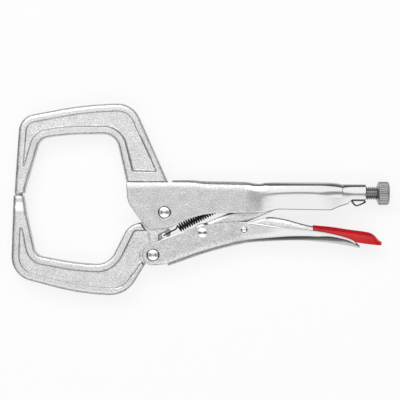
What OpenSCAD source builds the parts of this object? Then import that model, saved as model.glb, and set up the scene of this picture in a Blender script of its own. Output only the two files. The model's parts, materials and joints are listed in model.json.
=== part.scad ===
// Locking C-clamp pliers, 280 mm long.
// They lie on their side: +X runs from the jaw tips to the adjusting knob,
// +Y from the moving jaw to the fixed jaw and +Z out of the upper face.
// The origin is where the two jaw tips meet, half-way through the thickness.

/* [Jaws] */
// Depth of the throat, from the jaw tips back to the body
throat = 79.8; // [76:0.2:84]
// Height of the fixed jaw's back above the tips
fixed_rise = 67; // [62:0.5:74]
// Width of the fixed jaw's arm across its back
fixed_arm_w = 22; // [18:0.5:25]
// Drop of the moving jaw's back below the tips
moving_drop = 75.3; // [71:0.5:82]
// Width of the moving jaw's arm across its back
moving_arm_w = 23.4; // [19:0.5:25]
// Thickness of the forged arms
arm_t = 12; // [10:0.5:14]
// Thickness left between the recesses of an arm
arm_web_t = 7.6; // [5:0.2:8]
// Width of the rim round each recess
rim_w = 5.2; // [4:0.2:6]
// Width of the flat where the tips meet
tip_w = 3.7; // [2:0.1:5]

/* [Body] */
// Thickness of the body's sheet
body_sheet = 2.8; // [2:0.1:3.2]
// Free width between the cheeks, which the jaws fit
cheek_gap = 8.3; // [7.5:0.1:9.5]
// Height of the body's back above the tips
body_rise = 9; // [8.5:0.1:10]
// Start of the folded back, behind the main pivot
web_back = 5.6; // [4.6:0.1:8]
// Start of the flare from the head to the grip, behind the main pivot
flare_back = 62; // [58:1:66]
// Length of that flare
flare_len = 13; // [9:1:16]
// Outer width of both grips
grip_w = 20; // [18:0.5:24]
// Start of the threaded collar, behind the main pivot
collar_back = 132.5; // [128:0.5:136]
// Length of the threaded collar
collar_len = 16.7; // [12:0.5:20]
// Outer width of the threaded collar
collar_w = 13; // [12.8:0.1:15]

/* [Pivots] */
// Main pivot, measured back from the throat
main_pivot_back = 28.2; // [27.8:0.1:29]
// Main pivot, measured down from the jaw tips
main_pivot_drop = 13.2; // [12.6:0.1:13.8]
// Handle pivot, measured forward of the main pivot
handle_pivot_back = 8.5; // [7.5:0.1:9.5]
// Handle pivot, measured down from the main pivot
handle_pivot_drop = 31.6; // [31:0.1:32.4]
// Distance from the handle pivot to the link pivot
handle_arm = 40.1; // [39:0.1:41]
// Slope of that line in degrees
handle_arm_slope = 24.3; // [23.8:0.1:24.8]
// Distance from the link pivot to the link's rounded end
link_len = 74.4; // [72:0.2:76]
// Diameter of the two main rivets
main_rivet_d = 8.5; // [7:0.1:9]
// Diameter of the link rivet's shank
link_rivet_d = 5.5; // [5:0.1:6.2]
// Diameter of the lever pin
lever_pin_d = 4.5; // [4:0.1:5]
// Running clearance between a pin and its bore, on the radius
pin_clearance = 0.05; // [0.03:0.01:0.09]
// Side clearance of each moving piece in its fork
side_clearance = 0.15; // [0.1:0.05:0.2]

/* [Handle and link] */
// Thickness of the lower handle's sheet
handle_sheet = 2.5; // [2:0.1:3]
// Length of the lower handle behind its pivot
handle_len = 153.2; // [146:0.5:158]
// Radius of the handle's nose
handle_nose_r = 7.8; // [7:0.1:8.4]
// Width of the link's bar
link_w = 11.4; // [10:0.2:12.4]
// Thickness of the link's bar
link_t = 4.6; // [3.6:0.2:4.8]
// Radius of the link's rounded end
link_tip_r = 4.6; // [4:0.1:5]

/* [Release lever] */
// Thickness of the lever's sheet
lever_sheet = 1.5; // [1.2:0.1:1.6]
// Lever pin, measured back from the handle pivot
lever_pin_x = 67.5; // [66.5:0.1:68.5]
// Lever pin, measured up from the handle pivot
lever_pin_rise = 18.7; // [18.3:0.1:19.1]
// How far the lever's tip reaches beyond the lower handle
lever_overhang = 14.6; // [12:0.2:18]
// Clearance between the dipped grip and the floor of the lower handle
grip_gap = 0.6; // [0.4:0.1:1]
// Thickness of the dipped plastic grip
dip_t = 0.9; // [0.6:0.1:1.1]
// Start of the dipped grip, behind the lever pin
dip_start = 50.9; // [48:0.1:56]

/* [Adjusting screw] */
// Height of the screw's axis above the jaw tips
screw_rise = 0.9; // [0.6:0.1:1.2]
// Diameter over the screw's thread
screw_d = 9.8; // [8:0.1:10]
// Gap between the link's end and the screw's nose
screw_gap = 5.8; // [5.4:0.1:9]
// Free length of thread between collar and knob
thread_free = 8.2; // [4:0.2:14]
// Diameter of the knob
knob_d = 17.2; // [15:0.2:20]
// Length of the knob
knob_len = 9.4; // [8:0.2:14]

/* [Tension spring] */
// Outer diameter of the coil
spring_d = 6.5; // [5.6:0.1:6.8]
// Diameter of the spring's wire
spring_wire = 1.2; // [1:0.1:1.4]
// Length of the coil between its hooks
coil_len = 45; // [42:0.5:46]

/* [Hidden] */
$fn = 64;

plated = "#cfd0d1";
forged = "#c2c4c6";
bright = "#e8e8e8";
black_steel = "#1d1d1f";
red_vinyl = "#d6282c";

// Places that follow from the driving dimensions.
main_pivot = [throat + main_pivot_back, -main_pivot_drop];
handle_pivot = main_pivot - [handle_pivot_back, handle_pivot_drop];
link_pivot = handle_pivot + handle_arm * [cos(handle_arm_slope), sin(handle_arm_slope)];
link_rise = screw_rise - link_pivot.y;
link_slope = asin(link_rise / link_len);
link_end = link_pivot + link_len * [cos(link_slope), sin(link_slope)];
lever_pivot = handle_pivot + [lever_pin_x, lever_pin_rise];
web_start = main_pivot.x + web_back;
flare_start = main_pivot.x + flare_back;
collar_start = main_pivot.x + collar_back;
collar_end = collar_start + collar_len;
screw_start = link_end.x + link_tip_r + screw_gap;
knob_start = collar_end + thread_free;
body_half = cheek_gap / 2 + body_sheet;
handle_half = cheek_gap / 2 + handle_sheet;
grip_half = grip_w / 2;
jaw_tang = cheek_gap - 2 * side_clearance;
far = 400;
cut = 0.01;

// ---- Outlines ------------------------------------------------------------

function unit(v) = v / norm(v);
function xy(p) = [p.x, p.y];

// Points of a fillet of radius r at corner b, between the edges to a and c.
function fillet(a, b, c, r) =
    let (u = unit(a - b), v = unit(c - b),
         half = acos(max(-1, min(1, u * v))) / 2,
         centre = b + unit(u + v) * r / sin(half),
         reach = r / tan(half),
         from = b + u * reach - centre,
         start = atan2(from.y, from.x),
         sweep = (180 - 2 * half) * sign(cross(b - a, c - b)),
         steps = max(2, ceil(abs(sweep) / 9)))
    [for (i = [0:steps])
        let (angle = start + sweep * i / steps) centre + r * [cos(angle), sin(angle)]];

// A closed outline from corners [x, y, radius].
function rounded(corners) =
    let (n = len(corners))
    [for (i = [0:n - 1])
        let (p = corners[i])
        each p.z > 0
            ? fillet(xy(corners[(i + n - 1) % n]), xy(p), xy(corners[(i + 1) % n]), p.z)
            : [xy(p)]];

// The same corners moved into the material by d, for an outline that runs clockwise.
function inset(corners, d) =
    let (n = len(corners))
    [for (i = [0:n - 1])
        let (a = xy(corners[(i + n - 1) % n]), b = xy(corners[i]), c = xy(corners[(i + 1) % n]),
             u = unit(b - a), v = unit(c - b),
             mitre = unit([u.y, -u.x] + [v.y, -v.x]),
             moved = b + mitre * d / (mitre * [u.y, -u.x]),
             convex = cross(u, v) < 0,
             radius = corners[i].z + (convex ? -d : d))
        [moved.x, moved.y, corners[i].z > 0 ? max(0.4, radius) : 0]];

// Smooth curve through stations [x, value], without overshoot.
function rate(t, i) = (t[i + 1].y - t[i].y) / (t[i + 1].x - t[i].x);
function slope(t, i) =
    i == 0 ? rate(t, 0)
    : i == len(t) - 1 ? rate(t, i - 1)
    : let (a = rate(t, i - 1), b = rate(t, i)) a * b <= 0 ? 0 : 2 * a * b / (a + b);
function span(t, x, i = 0) = i >= len(t) - 2 || x < t[i + 1].x ? i : span(t, x, i + 1);
function at(t, x) =
    let (c = max(t[0].x, min(t[len(t) - 1].x, x)), i = span(t, c),
         h = t[i + 1].x - t[i].x, s = (c - t[i].x) / h)
    (1 + 2 * s) * pow(1 - s, 2) * t[i].y + s * pow(1 - s, 2) * h * slope(t, i)
    + s * s * (3 - 2 * s) * t[i + 1].y + s * s * (s - 1) * h * slope(t, i + 1);

// ---- Lofted bars and channels ----------------------------------------------

// One cross-section: flat on its open side, folded round on its back.
function ring(x, back, open, half, fold) =
    let (side = sign(back - open), steps = 5,
         r = max(0.2, min(fold, half - 0.2)))
    [[x, open, -half],
     for (i = [0:steps])
         let (a = 90 * i / steps)
         [x, back - side * r * (1 - sin(a)), -half + r * (1 - cos(a))],
     for (i = [steps:-1:0])
         let (a = 90 * i / steps)
         [x, back - side * r * (1 - sin(a)), half - r * (1 - cos(a))],
     [x, open, half]];

// A closed skin over equal rings that follow each other along +X.
module skin(rings, flip = false) {
    count = len(rings);
    size = len(rings[0]);
    sides = [for (k = [0:count - 2], i = [0:size - 1])
        let (j = (i + 1) % size, a = k * size + i, b = k * size + j)
        each [[a, b, b + size], [a, b + size, a + size]]];
    ends = [[for (i = [size - 1:-1:0]) i], [for (i = [0:size - 1]) (count - 1) * size + i]];
    faces = concat(sides, ends);
    polyhedron([for (r = rings) each r],
               [for (f = faces) flip ? f : [for (i = [len(f) - 1:-1:0]) f[i]]]);
}

// A bar from x0 to x1; grow moves its back and sides out and its open side by open_grow.
module bar(x0, x1, steps, back, open, half, fold, grow = 0, open_grow = 0) {
    side = sign(at(back, (x0 + x1) / 2) - at(open, (x0 + x1) / 2));
    skin([for (k = [0:steps])
        let (x = x0 + (x1 - x0) * k / steps, y = at(back, x), lip = at(open, x))
        ring(x, y + side * grow, lip - side * open_grow, at(half, x) + grow,
             min(at(fold, x), abs(y - lip) - 0.2) + grow)], flip = side < 0);
}

// A folded sheet: the bar less a smaller one that runs out of its open side.
module channel(x0, x1, steps, back, open, half, fold, sheet, front = 1, rear = 1) {
    difference() {
        bar(x0, x1, steps, back, open, half, fold);
        bar(x0 - front, x1 + rear, steps, back, open, half, fold, -sheet, 8);
    }
}

// ---- Pressed body --------------------------------------------------------

body_back = [[web_start, body_rise + 0.6], [web_start + 13.3, body_rise + 1.7],
             [web_start + 26.4, body_rise + 0.9],
             [flare_start, body_rise + 0.1], [flare_start + flare_len / 2, body_rise - 1.4],
             [flare_start + flare_len, body_rise - 0.6],
             [flare_start + flare_len + 25, body_rise - 0.2],
             [collar_start - 8.5, body_rise], [collar_start, screw_rise + collar_w / 2],
             [collar_end, screw_rise + collar_w / 2]];
body_open = [[web_start, -40], [collar_end, -40]];
body_width = [[web_start, body_half], [flare_start, body_half],
              [flare_start + flare_len, grip_half], [collar_start - 9, grip_half],
              [collar_start + 0.5, collar_w / 2], [collar_end, collar_w / 2]];
body_fold = [[web_start, 4.6], [flare_start, 4.6], [flare_start + flare_len, 7.4],
             [collar_start - 9, 7.4], [collar_start + 0.5, collar_w / 2 - 0.1],
             [collar_end, collar_w / 2 - 0.1]];
lip_y = screw_rise - 5;
head_y = main_pivot.y - 12.6;
head_front = [throat - 0.2, body_rise];
head_edge = [main_pivot.x + 23.6, main_pivot.y - 0.8];
body_side = [[head_front.x, 30, 0], [head_front.x, head_front.y, 0],
             [throat + 0.7, -5.5, 18.5], [main_pivot.x - 12.7, head_y, 9],
             [main_pivot.x + 3, head_y, 1.5], [head_edge.x, head_edge.y, 66],
             [flare_start + 11.7, head_edge.y + 0.5, 8], [flare_start + 21.7, -11, 8],
             [collar_start - 9.2, -11.7, 4], [collar_start - 2.6, -8.9, 6],
             [collar_start + 3.3, -7, 2], [collar_start + 6.3, lip_y, 2],
             [collar_end, lip_y, 0], [collar_end, 30, 0]];
stakes = [[main_pivot.x - 19.6, -2.6], [main_pivot.x + 14.5, -2.6]];
stake_size = [6, 9];
stake_depth = 0.4;
countersink = 0.5;

module both_sides() {
    children();
    mirror([0, 0, 1]) children();
}

// Bore along Z with a small countersink in the outer faces at z = face.
module rivet_bore(place, d, face) {
    translate([place.x, place.y, 0]) {
        cylinder(d = d + 2 * pin_clearance, h = far, center = true);
        if (face > 0)
            both_sides()
                translate([0, 0, face - countersink])
                    cylinder(d1 = d + 2 * pin_clearance, d2 = d + 2 * countersink + 0.6,
                             h = countersink + cut);
    }
}

// The two flat cheeks of the head, ahead of the folded back.
module head_cheeks() {
    both_sides()
        translate([throat - 2, head_y - 1, cheek_gap / 2])
            cube([web_start + 2 - throat + 2, head_front.y - head_y + 1, body_sheet]);
}

module body_channel() {
    color(plated)
    difference() {
        intersection() {
            union() {
                head_cheeks();
                channel(web_start, collar_start - 1, 34, body_back, body_open, body_width,
                        body_fold, body_sheet, rear = 0);
                bar(collar_start - 1, collar_end, 6, body_back, body_open, body_width, body_fold);
            }
            linear_extrude(height = grip_w + 2, center = true) polygon(rounded(body_side));
        }
        // Threaded bore of the collar and the slit below it.
        translate([collar_start - 10, screw_rise, 0])
            rotate([0, 90, 0])
                cylinder(d = screw_d + 2 * pin_clearance, h = collar_len + 12);
        translate([collar_start - 2, lip_y - 20, -3.4])
            cube([collar_len + 4, 20 + 3, 6.8]);
        // Under the collar's front the channel stays open.
        translate([collar_start - 1 - cut, -30, -cheek_gap / 2])
            cube([6.4, 30 - 5.6, cheek_gap]);
        rivet_bore(main_pivot, main_rivet_d, body_half);
        for (s = stakes)
            both_sides()
                translate([s.x - stake_size.x / 2, s.y - stake_size.y / 2,
                           body_half - stake_depth])
                    cube([stake_size.x, stake_size.y, stake_depth + cut]);
        // Blind seats for the spring pin.
        translate([spring_anchor.x, spring_anchor.y, 0])
            cylinder(d = spring_pin_d, h = cheek_gap + 2 * spring_pin_seat, center = true);
    }
}

// ---- Forged jaws ---------------------------------------------------------

step_y = body_rise + 3.6;
tang_bottom = main_pivot.y + 4.2;
hub_r = 10.5;
fixed_inner = fixed_rise - fixed_arm_w;
fixed_arm = [[throat + 30.8, body_rise + 0.2, 0],
             [throat - 0.1, body_rise + 0.2, 0],
             [throat - 8.1, fixed_inner - 0.3, 11.5],
             [0.459 * throat, fixed_inner - 0.4, 2.2 * throat],
             [0.2 * throat, fixed_inner - 3.5, 8.7],
             [5.2, 4.8, 0], [5, 3.3, 3], [tip_w / 2, 0, 0], [-tip_w / 2, 0, 0],
             [-3.3, 0.4, 1.5],
             [0.7, fixed_rise - 9.4, 13.2],
             [0.617 * throat, fixed_rise - 0.4, 3.3 * throat],
             [throat + 4.9, fixed_rise + 0.9, 17.8]];
fixed_panel = [[throat + 30.8, body_rise + 2.6, 6],
               [throat - 0.1, body_rise + 2.6, 6],
               [throat - 8.1, fixed_inner - 0.3, 11.5],
               [0.459 * throat, fixed_inner - 0.4, 2.2 * throat],
               [0.2 * throat, fixed_inner - 3.5, 8.7],
               [-6.7, -36.1, rim_w + 0.8],
               [0.7, fixed_rise - 9.4, 13.2],
               [0.617 * throat, fixed_rise - 0.4, 3.3 * throat],
               [throat + 4.9, fixed_rise + 0.9, 17.8]];

moving_inner = -moving_drop + moving_arm_w;
neck_right = handle_pivot.x + 4.1;
lug_bottom = handle_pivot.y - 7.6;
moving_arm = [[-3.9, -0.4, 1.5], [-tip_w / 2, 0, 0], [tip_w / 2, 0, 0], [4.2, -3, 2],
              [0.155 * throat, moving_inner + 7.1, 8.1],
              [0.524 * throat, moving_inner + 1.5, 2.2 * throat],
              [0.833 * throat, moving_inner, 14.7],
              [throat + 2.3, main_pivot.y - 7.5, 14.8],
              [main_pivot.x - 8, main_pivot.y - 7.7, 0],
              [main_pivot.x + 4, main_pivot.y - 7.7, 0],
              [main_pivot.x + 2, head_y - 1, 0], [neck_right, head_y - 3, 0],
              [neck_right, lug_bottom, 0],
              [handle_pivot.x - 5.2, lug_bottom, 2.5],
              [throat - 0.4, -moving_drop, 22],
              [0.561 * throat, -moving_drop + 1.9, 2.2 * throat],
              [-5.5, -moving_drop + 15.1, 18.3],
              [-5.4, -0.6 * moving_drop, 0]];
moving_panel = [[-2.8, 31.7, rim_w + 1.4],
                [0.155 * throat, moving_inner + 7.1, 8.1],
                [0.524 * throat, moving_inner + 1.5, 2.2 * throat],
                [0.833 * throat, moving_inner, 14.7],
                [throat + 2.3, main_pivot.y - 7.5, 5],
                [handle_pivot.x + 2.5, main_pivot.y - 7.5, 6],
                [handle_pivot.x + 2.5, handle_pivot.y + 3, 8],
                [throat - 0.4, -moving_drop, 22],
                [0.561 * throat, -moving_drop + 1.9, 2.2 * throat],
                [-5.5, -moving_drop + 15.1, 18.3],
                [-5.4, -0.6 * moving_drop, 0]];

// Recesses in both faces that leave a web, following the outline at the rim's width.
module recesses(corners) {
    both_sides()
        translate([0, 0, arm_web_t / 2])
            linear_extrude(height = arm_t)
                polygon(rounded(inset(corners, rim_w)));
}

// The part of the fixed jaw that sits between the cheeks, above the moving jaw's hub.
tang_top = body_rise - body_sheet + 0.3;
fixed_tang = [[throat + 0.6, body_rise + 0.5, 0], [throat + 2, -2, 0],
              [throat + 6.4, tang_bottom, 0], [main_pivot.x + 20, tang_bottom, 2],
              [main_pivot.x + 20, tang_top, 2], [throat + 30.3, tang_top, 0],
              [throat + 30.3, body_rise + 0.5, 0]];

module fixed_jaw() {
    color(forged)
    difference() {
        union() {
            linear_extrude(height = arm_t, center = true)
                difference() {
                    polygon(rounded(fixed_arm));
                    translate([throat / 2, -far / 2]) square([throat, far / 2 + step_y]);
                }
            linear_extrude(height = cheek_gap, center = true)
                difference() {
                    union() {
                        intersection() {
                            polygon(rounded(fixed_arm));
                            translate([throat / 2, body_rise]) square([throat, 10]);
                        }
                        polygon(rounded(fixed_tang));
                    }
                    translate(main_pivot) circle(r = hub_r + 0.5);
                }
        }
        recesses(fixed_panel);
    }
}

spring_lug = [[neck_right - 2, head_y + 2, 0], [neck_right + 9.1, head_y - 0.1, 1.2],
              [neck_right + 8.4, head_y - 6.6, 3], [neck_right + 1, head_y - 11, 1],
              [neck_right - 2, head_y - 11, 0]];
spring_eye = [neck_right + 4, head_y - 4.6];
lug_t = 3.2;

module moving_jaw() {
    color(forged)
    difference() {
        union() {
            difference() {
                linear_extrude(height = arm_t, center = true) {
                    polygon(rounded(moving_arm));
                    translate(main_pivot) circle(r = hub_r);
                    translate(handle_pivot) circle(r = handle_nose_r - 0.4);
                }
                // Both pivots are thinned to run between the cheeks and the handle's sides.
                both_sides()
                    translate([0, 0, jaw_tang / 2])
                        linear_extrude(height = arm_t) {
                            translate(main_pivot) circle(r = 19);
                            translate(handle_pivot) circle(r = handle_nose_r + 2.2);
                            translate([handle_pivot.x - 3, lug_bottom - 4]) square([40, 60]);
                        }
            }
            linear_extrude(height = lug_t, center = true) polygon(rounded(spring_lug));
        }
        recesses(moving_panel);
        rivet_bore(main_pivot, main_rivet_d, 0);
        rivet_bore(handle_pivot, main_rivet_d, 0);
        translate(spring_eye) cylinder(d = 3.7, h = far, center = true);
    }
}

// ---- Lower handle ----------------------------------------------------------

// Tables of places along the handle, in parts of its length.
function from_handle(t) = [for (p = t) handle_pivot + handle_len * p];
function along_handle(t) = [for (p = t) [handle_pivot.x + handle_len * p.x, p.y]];

handle_open = from_handle([[-0.01, 0.0535], [0.13, 0.1095], [0.2755, 0.1475], [0.42, 0.16],
                           [0.5895, 0.1403], [0.773, 0.1188], [0.9035, 0.092],
                           [0.9713, 0.0679], [1, 0.0431]]);
handle_back = from_handle([[0.068, -0.0457], [0.227, 0.0026], [0.372, 0.0437], [0.4687, 0.0607],
                           [0.565, 0.0666], [0.71, 0.0692], [0.855, 0.0581], [1, 0.0333]]);
handle_width = along_handle([[0.068, handle_half], [0.483, handle_half], [0.568, grip_half],
                             [0.9, grip_half], [1, grip_half - 0.5]]);
handle_fold = along_handle([[0.068, 4.2], [0.483, 4.4], [0.568, 5], [1, 3]]);
handle_front = handle_back[0].x;
handle_end = handle_pivot.x + handle_len;

module lower_handle() {
    nose_end = handle_front + 2;
    color(plated)
    difference() {
        union() {
            channel(handle_front, handle_end, 40, handle_back, handle_open, handle_width,
                    handle_fold, handle_sheet);
            both_sides()
                translate([0, 0, cheek_gap / 2])
                    linear_extrude(height = handle_sheet) {
                        translate(handle_pivot) circle(r = handle_nose_r);
                        polygon([handle_pivot + [-handle_nose_r * 0.37, handle_nose_r * 0.925],
                                 [nose_end, at(handle_open, nose_end)],
                                 [nose_end, handle_pivot.y - 3.5],
                                 handle_pivot + [handle_nose_r * 0.2, -handle_nose_r * 0.98]]);
                    }
        }
        rivet_bore(handle_pivot, main_rivet_d, handle_half);
        rivet_bore(link_pivot, link_rivet_d, 0);
        rivet_bore(lever_pivot, lever_pin_d, handle_half);
    }
}

// ---- Toggle link -------------------------------------------------------------

link_boss_r = 6.8;

module toggle_link() {
    half = link_w / 2;
    color(forged)
    difference() {
        translate(link_pivot)
            rotate(link_slope) {
                linear_extrude(height = link_t, center = true) {
                    polygon([[0, half], [link_len - 12, half], [link_len - 1, link_tip_r - 0.2],
                             [link_len - 1, 0.2 - link_tip_r], [link_len - 12, -half],
                             [0, -half]]);
                    translate([link_len, 0]) circle(r = link_tip_r);
                }
                cylinder(r = link_boss_r, h = jaw_tang, center = true);
            }
        rivet_bore(link_pivot, link_rivet_d, 0);
    }
}

// ---- Release lever -----------------------------------------------------------

// Tables of places along the lever, in parts of its length.
function from_lever(t) = [for (p = t) lever_pivot + lever_len * p];
function along_lever(t) = [for (p = t) [lever_pivot.x + lever_len * p.x, p.y]];
// Height of the lever's free edges where they run above the floor of the handle.
function above_floor(x) = [x, at(handle_back, x) + handle_sheet + dip_t + grip_gap];

lever_len = handle_len - lever_pin_x + lever_overhang;
lever_back = from_lever([[-0.05, 0.03], [0.02, 0.063], [0.1315, 0.1017], [0.286, 0.0808],
                         [0.4265, 0.0439], [0.5075, 0.026], [0.633, 0.014], [0.7805, -0.008],
                         [0.8995, -0.024], [0.933, -0.032], [0.963, -0.05], [0.983, -0.0718],
                         [1, -0.0897]]);
lever_open = concat(from_lever([[-0.05, -0.03], [0.02, -0.044]]),
                    [for (part = [0.3, 0.5075, 0.775]) above_floor(lever_pivot.x + part * lever_len)],
                    from_lever([[0.8575, -0.0897], [0.927, -0.0997], [1, -0.1087]]));
lever_inside = cheek_gap / 2 - side_clearance;
lever_width = along_lever([[-0.05, lever_inside], [0.17, lever_inside], [0.32, 5.7],
                           [0.887, 5.7], [0.947, 5.2], [1, 3]]);
lever_fold = along_lever([[-0.05, 1.8], [0.17, 1.8], [0.32, 2.4], [1, 2.4]]);
lever_front = lever_back[0].x;
lever_end = lever_pivot.x + lever_len;
web_front = lever_pivot.x + 16.5;
lever_steps = 44;

module release_lever() {
    color(plated)
    difference() {
        channel(lever_front, lever_end, lever_steps, lever_back, lever_open, lever_width,
                lever_fold, lever_sheet, rear = -lever_sheet);
        // The back is cut away ahead of the nose, where the link passes between the cheeks.
        translate([lever_front - 1, lever_pivot.y - 20, lever_sheet + side_clearance - cheek_gap / 2])
            cube([web_front - lever_front + 1, 40, cheek_gap - 2 * (lever_sheet + side_clearance)]);
        translate([lever_front - 6, lever_pivot.y, 0]) cylinder(r = 3, h = far, center = true);
        rivet_bore(lever_pivot, lever_pin_d, 0);
    }
}

module lever_grip() {
    start = lever_pivot.x + dip_start;
    color(red_vinyl)
    difference() {
        bar(start, lever_end + dip_t, 30, lever_back, lever_open, lever_width, lever_fold,
            dip_t, dip_t);
        bar(lever_front, lever_end, lever_steps, lever_back, lever_open, lever_width, lever_fold,
            0.02, 6);
    }
}

// ---- Screw, knob and clip ------------------------------------------------------

module adjusting_screw() {
    nose_d = 7;
    color(plated)
    translate([screw_start, screw_rise, 0])
        rotate([0, 90, 0]) {
            cylinder(d = nose_d, h = 4);
            translate([0, 0, 4]) cylinder(d1 = nose_d, d2 = screw_d, h = 1.4);
            translate([0, 0, 5.4]) cylinder(d = screw_d, h = knob_start + 6 - screw_start - 5.4);
        }
}

module adjusting_knob() {
    r = knob_d / 2;
    color(plated)
    translate([knob_start, screw_rise, 0])
        rotate([0, 90, 0])
            rotate([0, 0, 90])
                rotate_extrude()
                    polygon([[screw_d / 2 + pin_clearance, 0], [r - 2.2, 0], [r - 0.6, 1.8],
                             [r, 2.6], [r, knob_len - 1.4], [r - 0.4, knob_len - 0.4],
                             [r - 1.4, knob_len], [0, knob_len], [0, 6 + pin_clearance],
                             [screw_d / 2 + pin_clearance, 6 + pin_clearance]]);
}

module screw_clip() {
    t = 0.8;
    top = lip_y - 0.02;
    color(black_steel)
    linear_extrude(height = collar_w - 1, center = true)
        difference() {
            polygon([[collar_end - 10.4, top], [collar_end, top], [collar_end, top - 2],
                     [collar_end - 2.7, top - 3.4], [collar_end - 6.3, top - 4.6],
                     [collar_end - 7.8, top - 4.2], [collar_end - 10.4, top - 1.4]]);
            polygon([[collar_end - 9, top - t], [collar_end - t, top - t],
                     [collar_end - t, top - 1.6], [collar_end - 3, top - 2.6],
                     [collar_end - 6.2, top - 3.7], [collar_end - 7.4, top - 3.4]]);
        }
}

// ---- Rivets and pins -------------------------------------------------------------

// A rivet along Z with slightly domed heads that stand proud of the outer faces.
module rivet(place, d, face, dome) {
    color(bright)
    translate([place.x, place.y, 0])
        rotate_extrude()
            polygon([[0, -face - dome], [d / 4, -face - dome * 0.85], [d / 2 - 0.3, -face - 0.1],
                     [d / 2, 0.2 - face], [d / 2, face - 0.2], [d / 2 - 0.3, face + 0.1],
                     [d / 4, face + dome * 0.85], [0, face + dome]]);
}

module main_rivet() { rivet(main_pivot, main_rivet_d, body_half, 0.35); }

module handle_rivet() { rivet(handle_pivot, main_rivet_d, handle_half, 0.35); }

module lever_pin() { rivet(lever_pivot, lever_pin_d, handle_half, 0.3); }

module link_rivet() {
    head_r = link_rivet_d / 2 + 0.9;
    color(bright)
    translate([link_pivot.x, link_pivot.y, 0]) {
        cylinder(d = link_rivet_d, h = 2 * handle_half, center = true);
        both_sides()
            translate([0, 0, handle_half])
                rotate_extrude()
                    polygon([[0, 0], [head_r, 0], [head_r - 0.2, 0.5], [head_r - 1, 0.9],
                             [head_r - 2, 1.1], [0, 1.2]]);
    }
}

// ---- Tension spring ----------------------------------------------------------------

coil_slope = 27;
coil_dir = [cos(coil_slope), sin(coil_slope)];
coil_turns = 24;
coil_start = [main_pivot.x + 10.4, main_pivot.y - 11.8];
spring_anchor = coil_start + (coil_len + 6.2) * coil_dir;
spring_pin_d = 3;
spring_pin_seat = 1.4;

module spring_pin() {
    color(plated)
    translate(spring_anchor)
        cylinder(d = spring_pin_d - 0.04, h = cheek_gap + 2 * spring_pin_seat - 0.1, center = true);
}

function coil_point(along, angle, r) =
    [coil_start.x + coil_dir.x * along - coil_dir.y * r * cos(angle),
     coil_start.y + coil_dir.y * along + coil_dir.x * r * cos(angle), r * sin(angle)];

coil_r = (spring_d - spring_wire) / 2;
hook_z = lug_t / 2 + spring_wire / 2 + 0.2;
front_hook = [[spring_eye.x, spring_eye.y, -hook_z], [spring_eye.x, spring_eye.y, 0],
              [spring_eye.x + 0.3, spring_eye.y + 0.2, hook_z - 0.5],
              [spring_eye.x + 1.2, spring_eye.y + 0.7, hook_z],
              [spring_eye.x + 4.6, spring_eye.y + 2.4, hook_z],
              [coil_start.x - 3.4, coil_start.y - 1, 1.6],
              [coil_start.x - 1.8, coil_start.y + 0.8, 0.6]];
turn_steps = 8;
coil = [for (k = [0:coil_turns * turn_steps])
    coil_point(coil_len * k / (coil_turns * turn_steps), 360 * k / turn_steps, coil_r)];
ring_r = (spring_pin_d + spring_wire) / 2 + 0.15;
rear_hook = [for (a = [150:-30:-120])
    let (u = ring_r * cos(a), v = ring_r * sin(a))
    [spring_anchor.x + coil_dir.x * u - coil_dir.y * v,
     spring_anchor.y + coil_dir.y * u + coil_dir.x * v, 0]];

function tangent(path, i) =
    unit(path[min(i + 1, len(path) - 1)] - path[max(i - 1, 0)]);
function across(v, t) = unit(v - (v * t) * t);

// A round wire along a path; its cross-sections are carried along without twist.
module wire(path, d, sides) {
    tangents = [for (i = [0:len(path) - 1]) tangent(path, i)];
    normals = [for (i = 0, n = across([0.3, 0.8, 0.1], tangents[0]); i < len(path);
                    i = i + 1, n = i < len(path) ? across(n, tangents[i]) : n) n];
    skin([for (i = [0:len(path) - 1])
        let (n = normals[i], b = cross(tangents[i], n))
        [for (k = [0:sides - 1])
            let (a = 360 * k / sides) path[i] + d / 2 * (n * cos(a) + b * sin(a))]]);
}

module tension_spring() {
    color(black_steel) wire(concat(front_hook, coil, rear_hook), spring_wire, 6);
}

body_channel();
fixed_jaw();
moving_jaw();
lower_handle();
toggle_link();
release_lever();
lever_grip();
adjusting_screw();
adjusting_knob();
screw_clip();
main_rivet();
handle_rivet();
link_rivet();
lever_pin();
spring_pin();
tension_spring();
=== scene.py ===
"""Locking C-clamp pliers: the pressed, forged, turned and dipped pieces, their finishes and the
stage.

Lengths inside the shape functions are millimetres in the part's frame: the jaw tips meet at the
origin, +X runs to the adjusting knob, +Y to the fixed jaw and +Z out of the upper face.
"""
import json
import math

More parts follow.
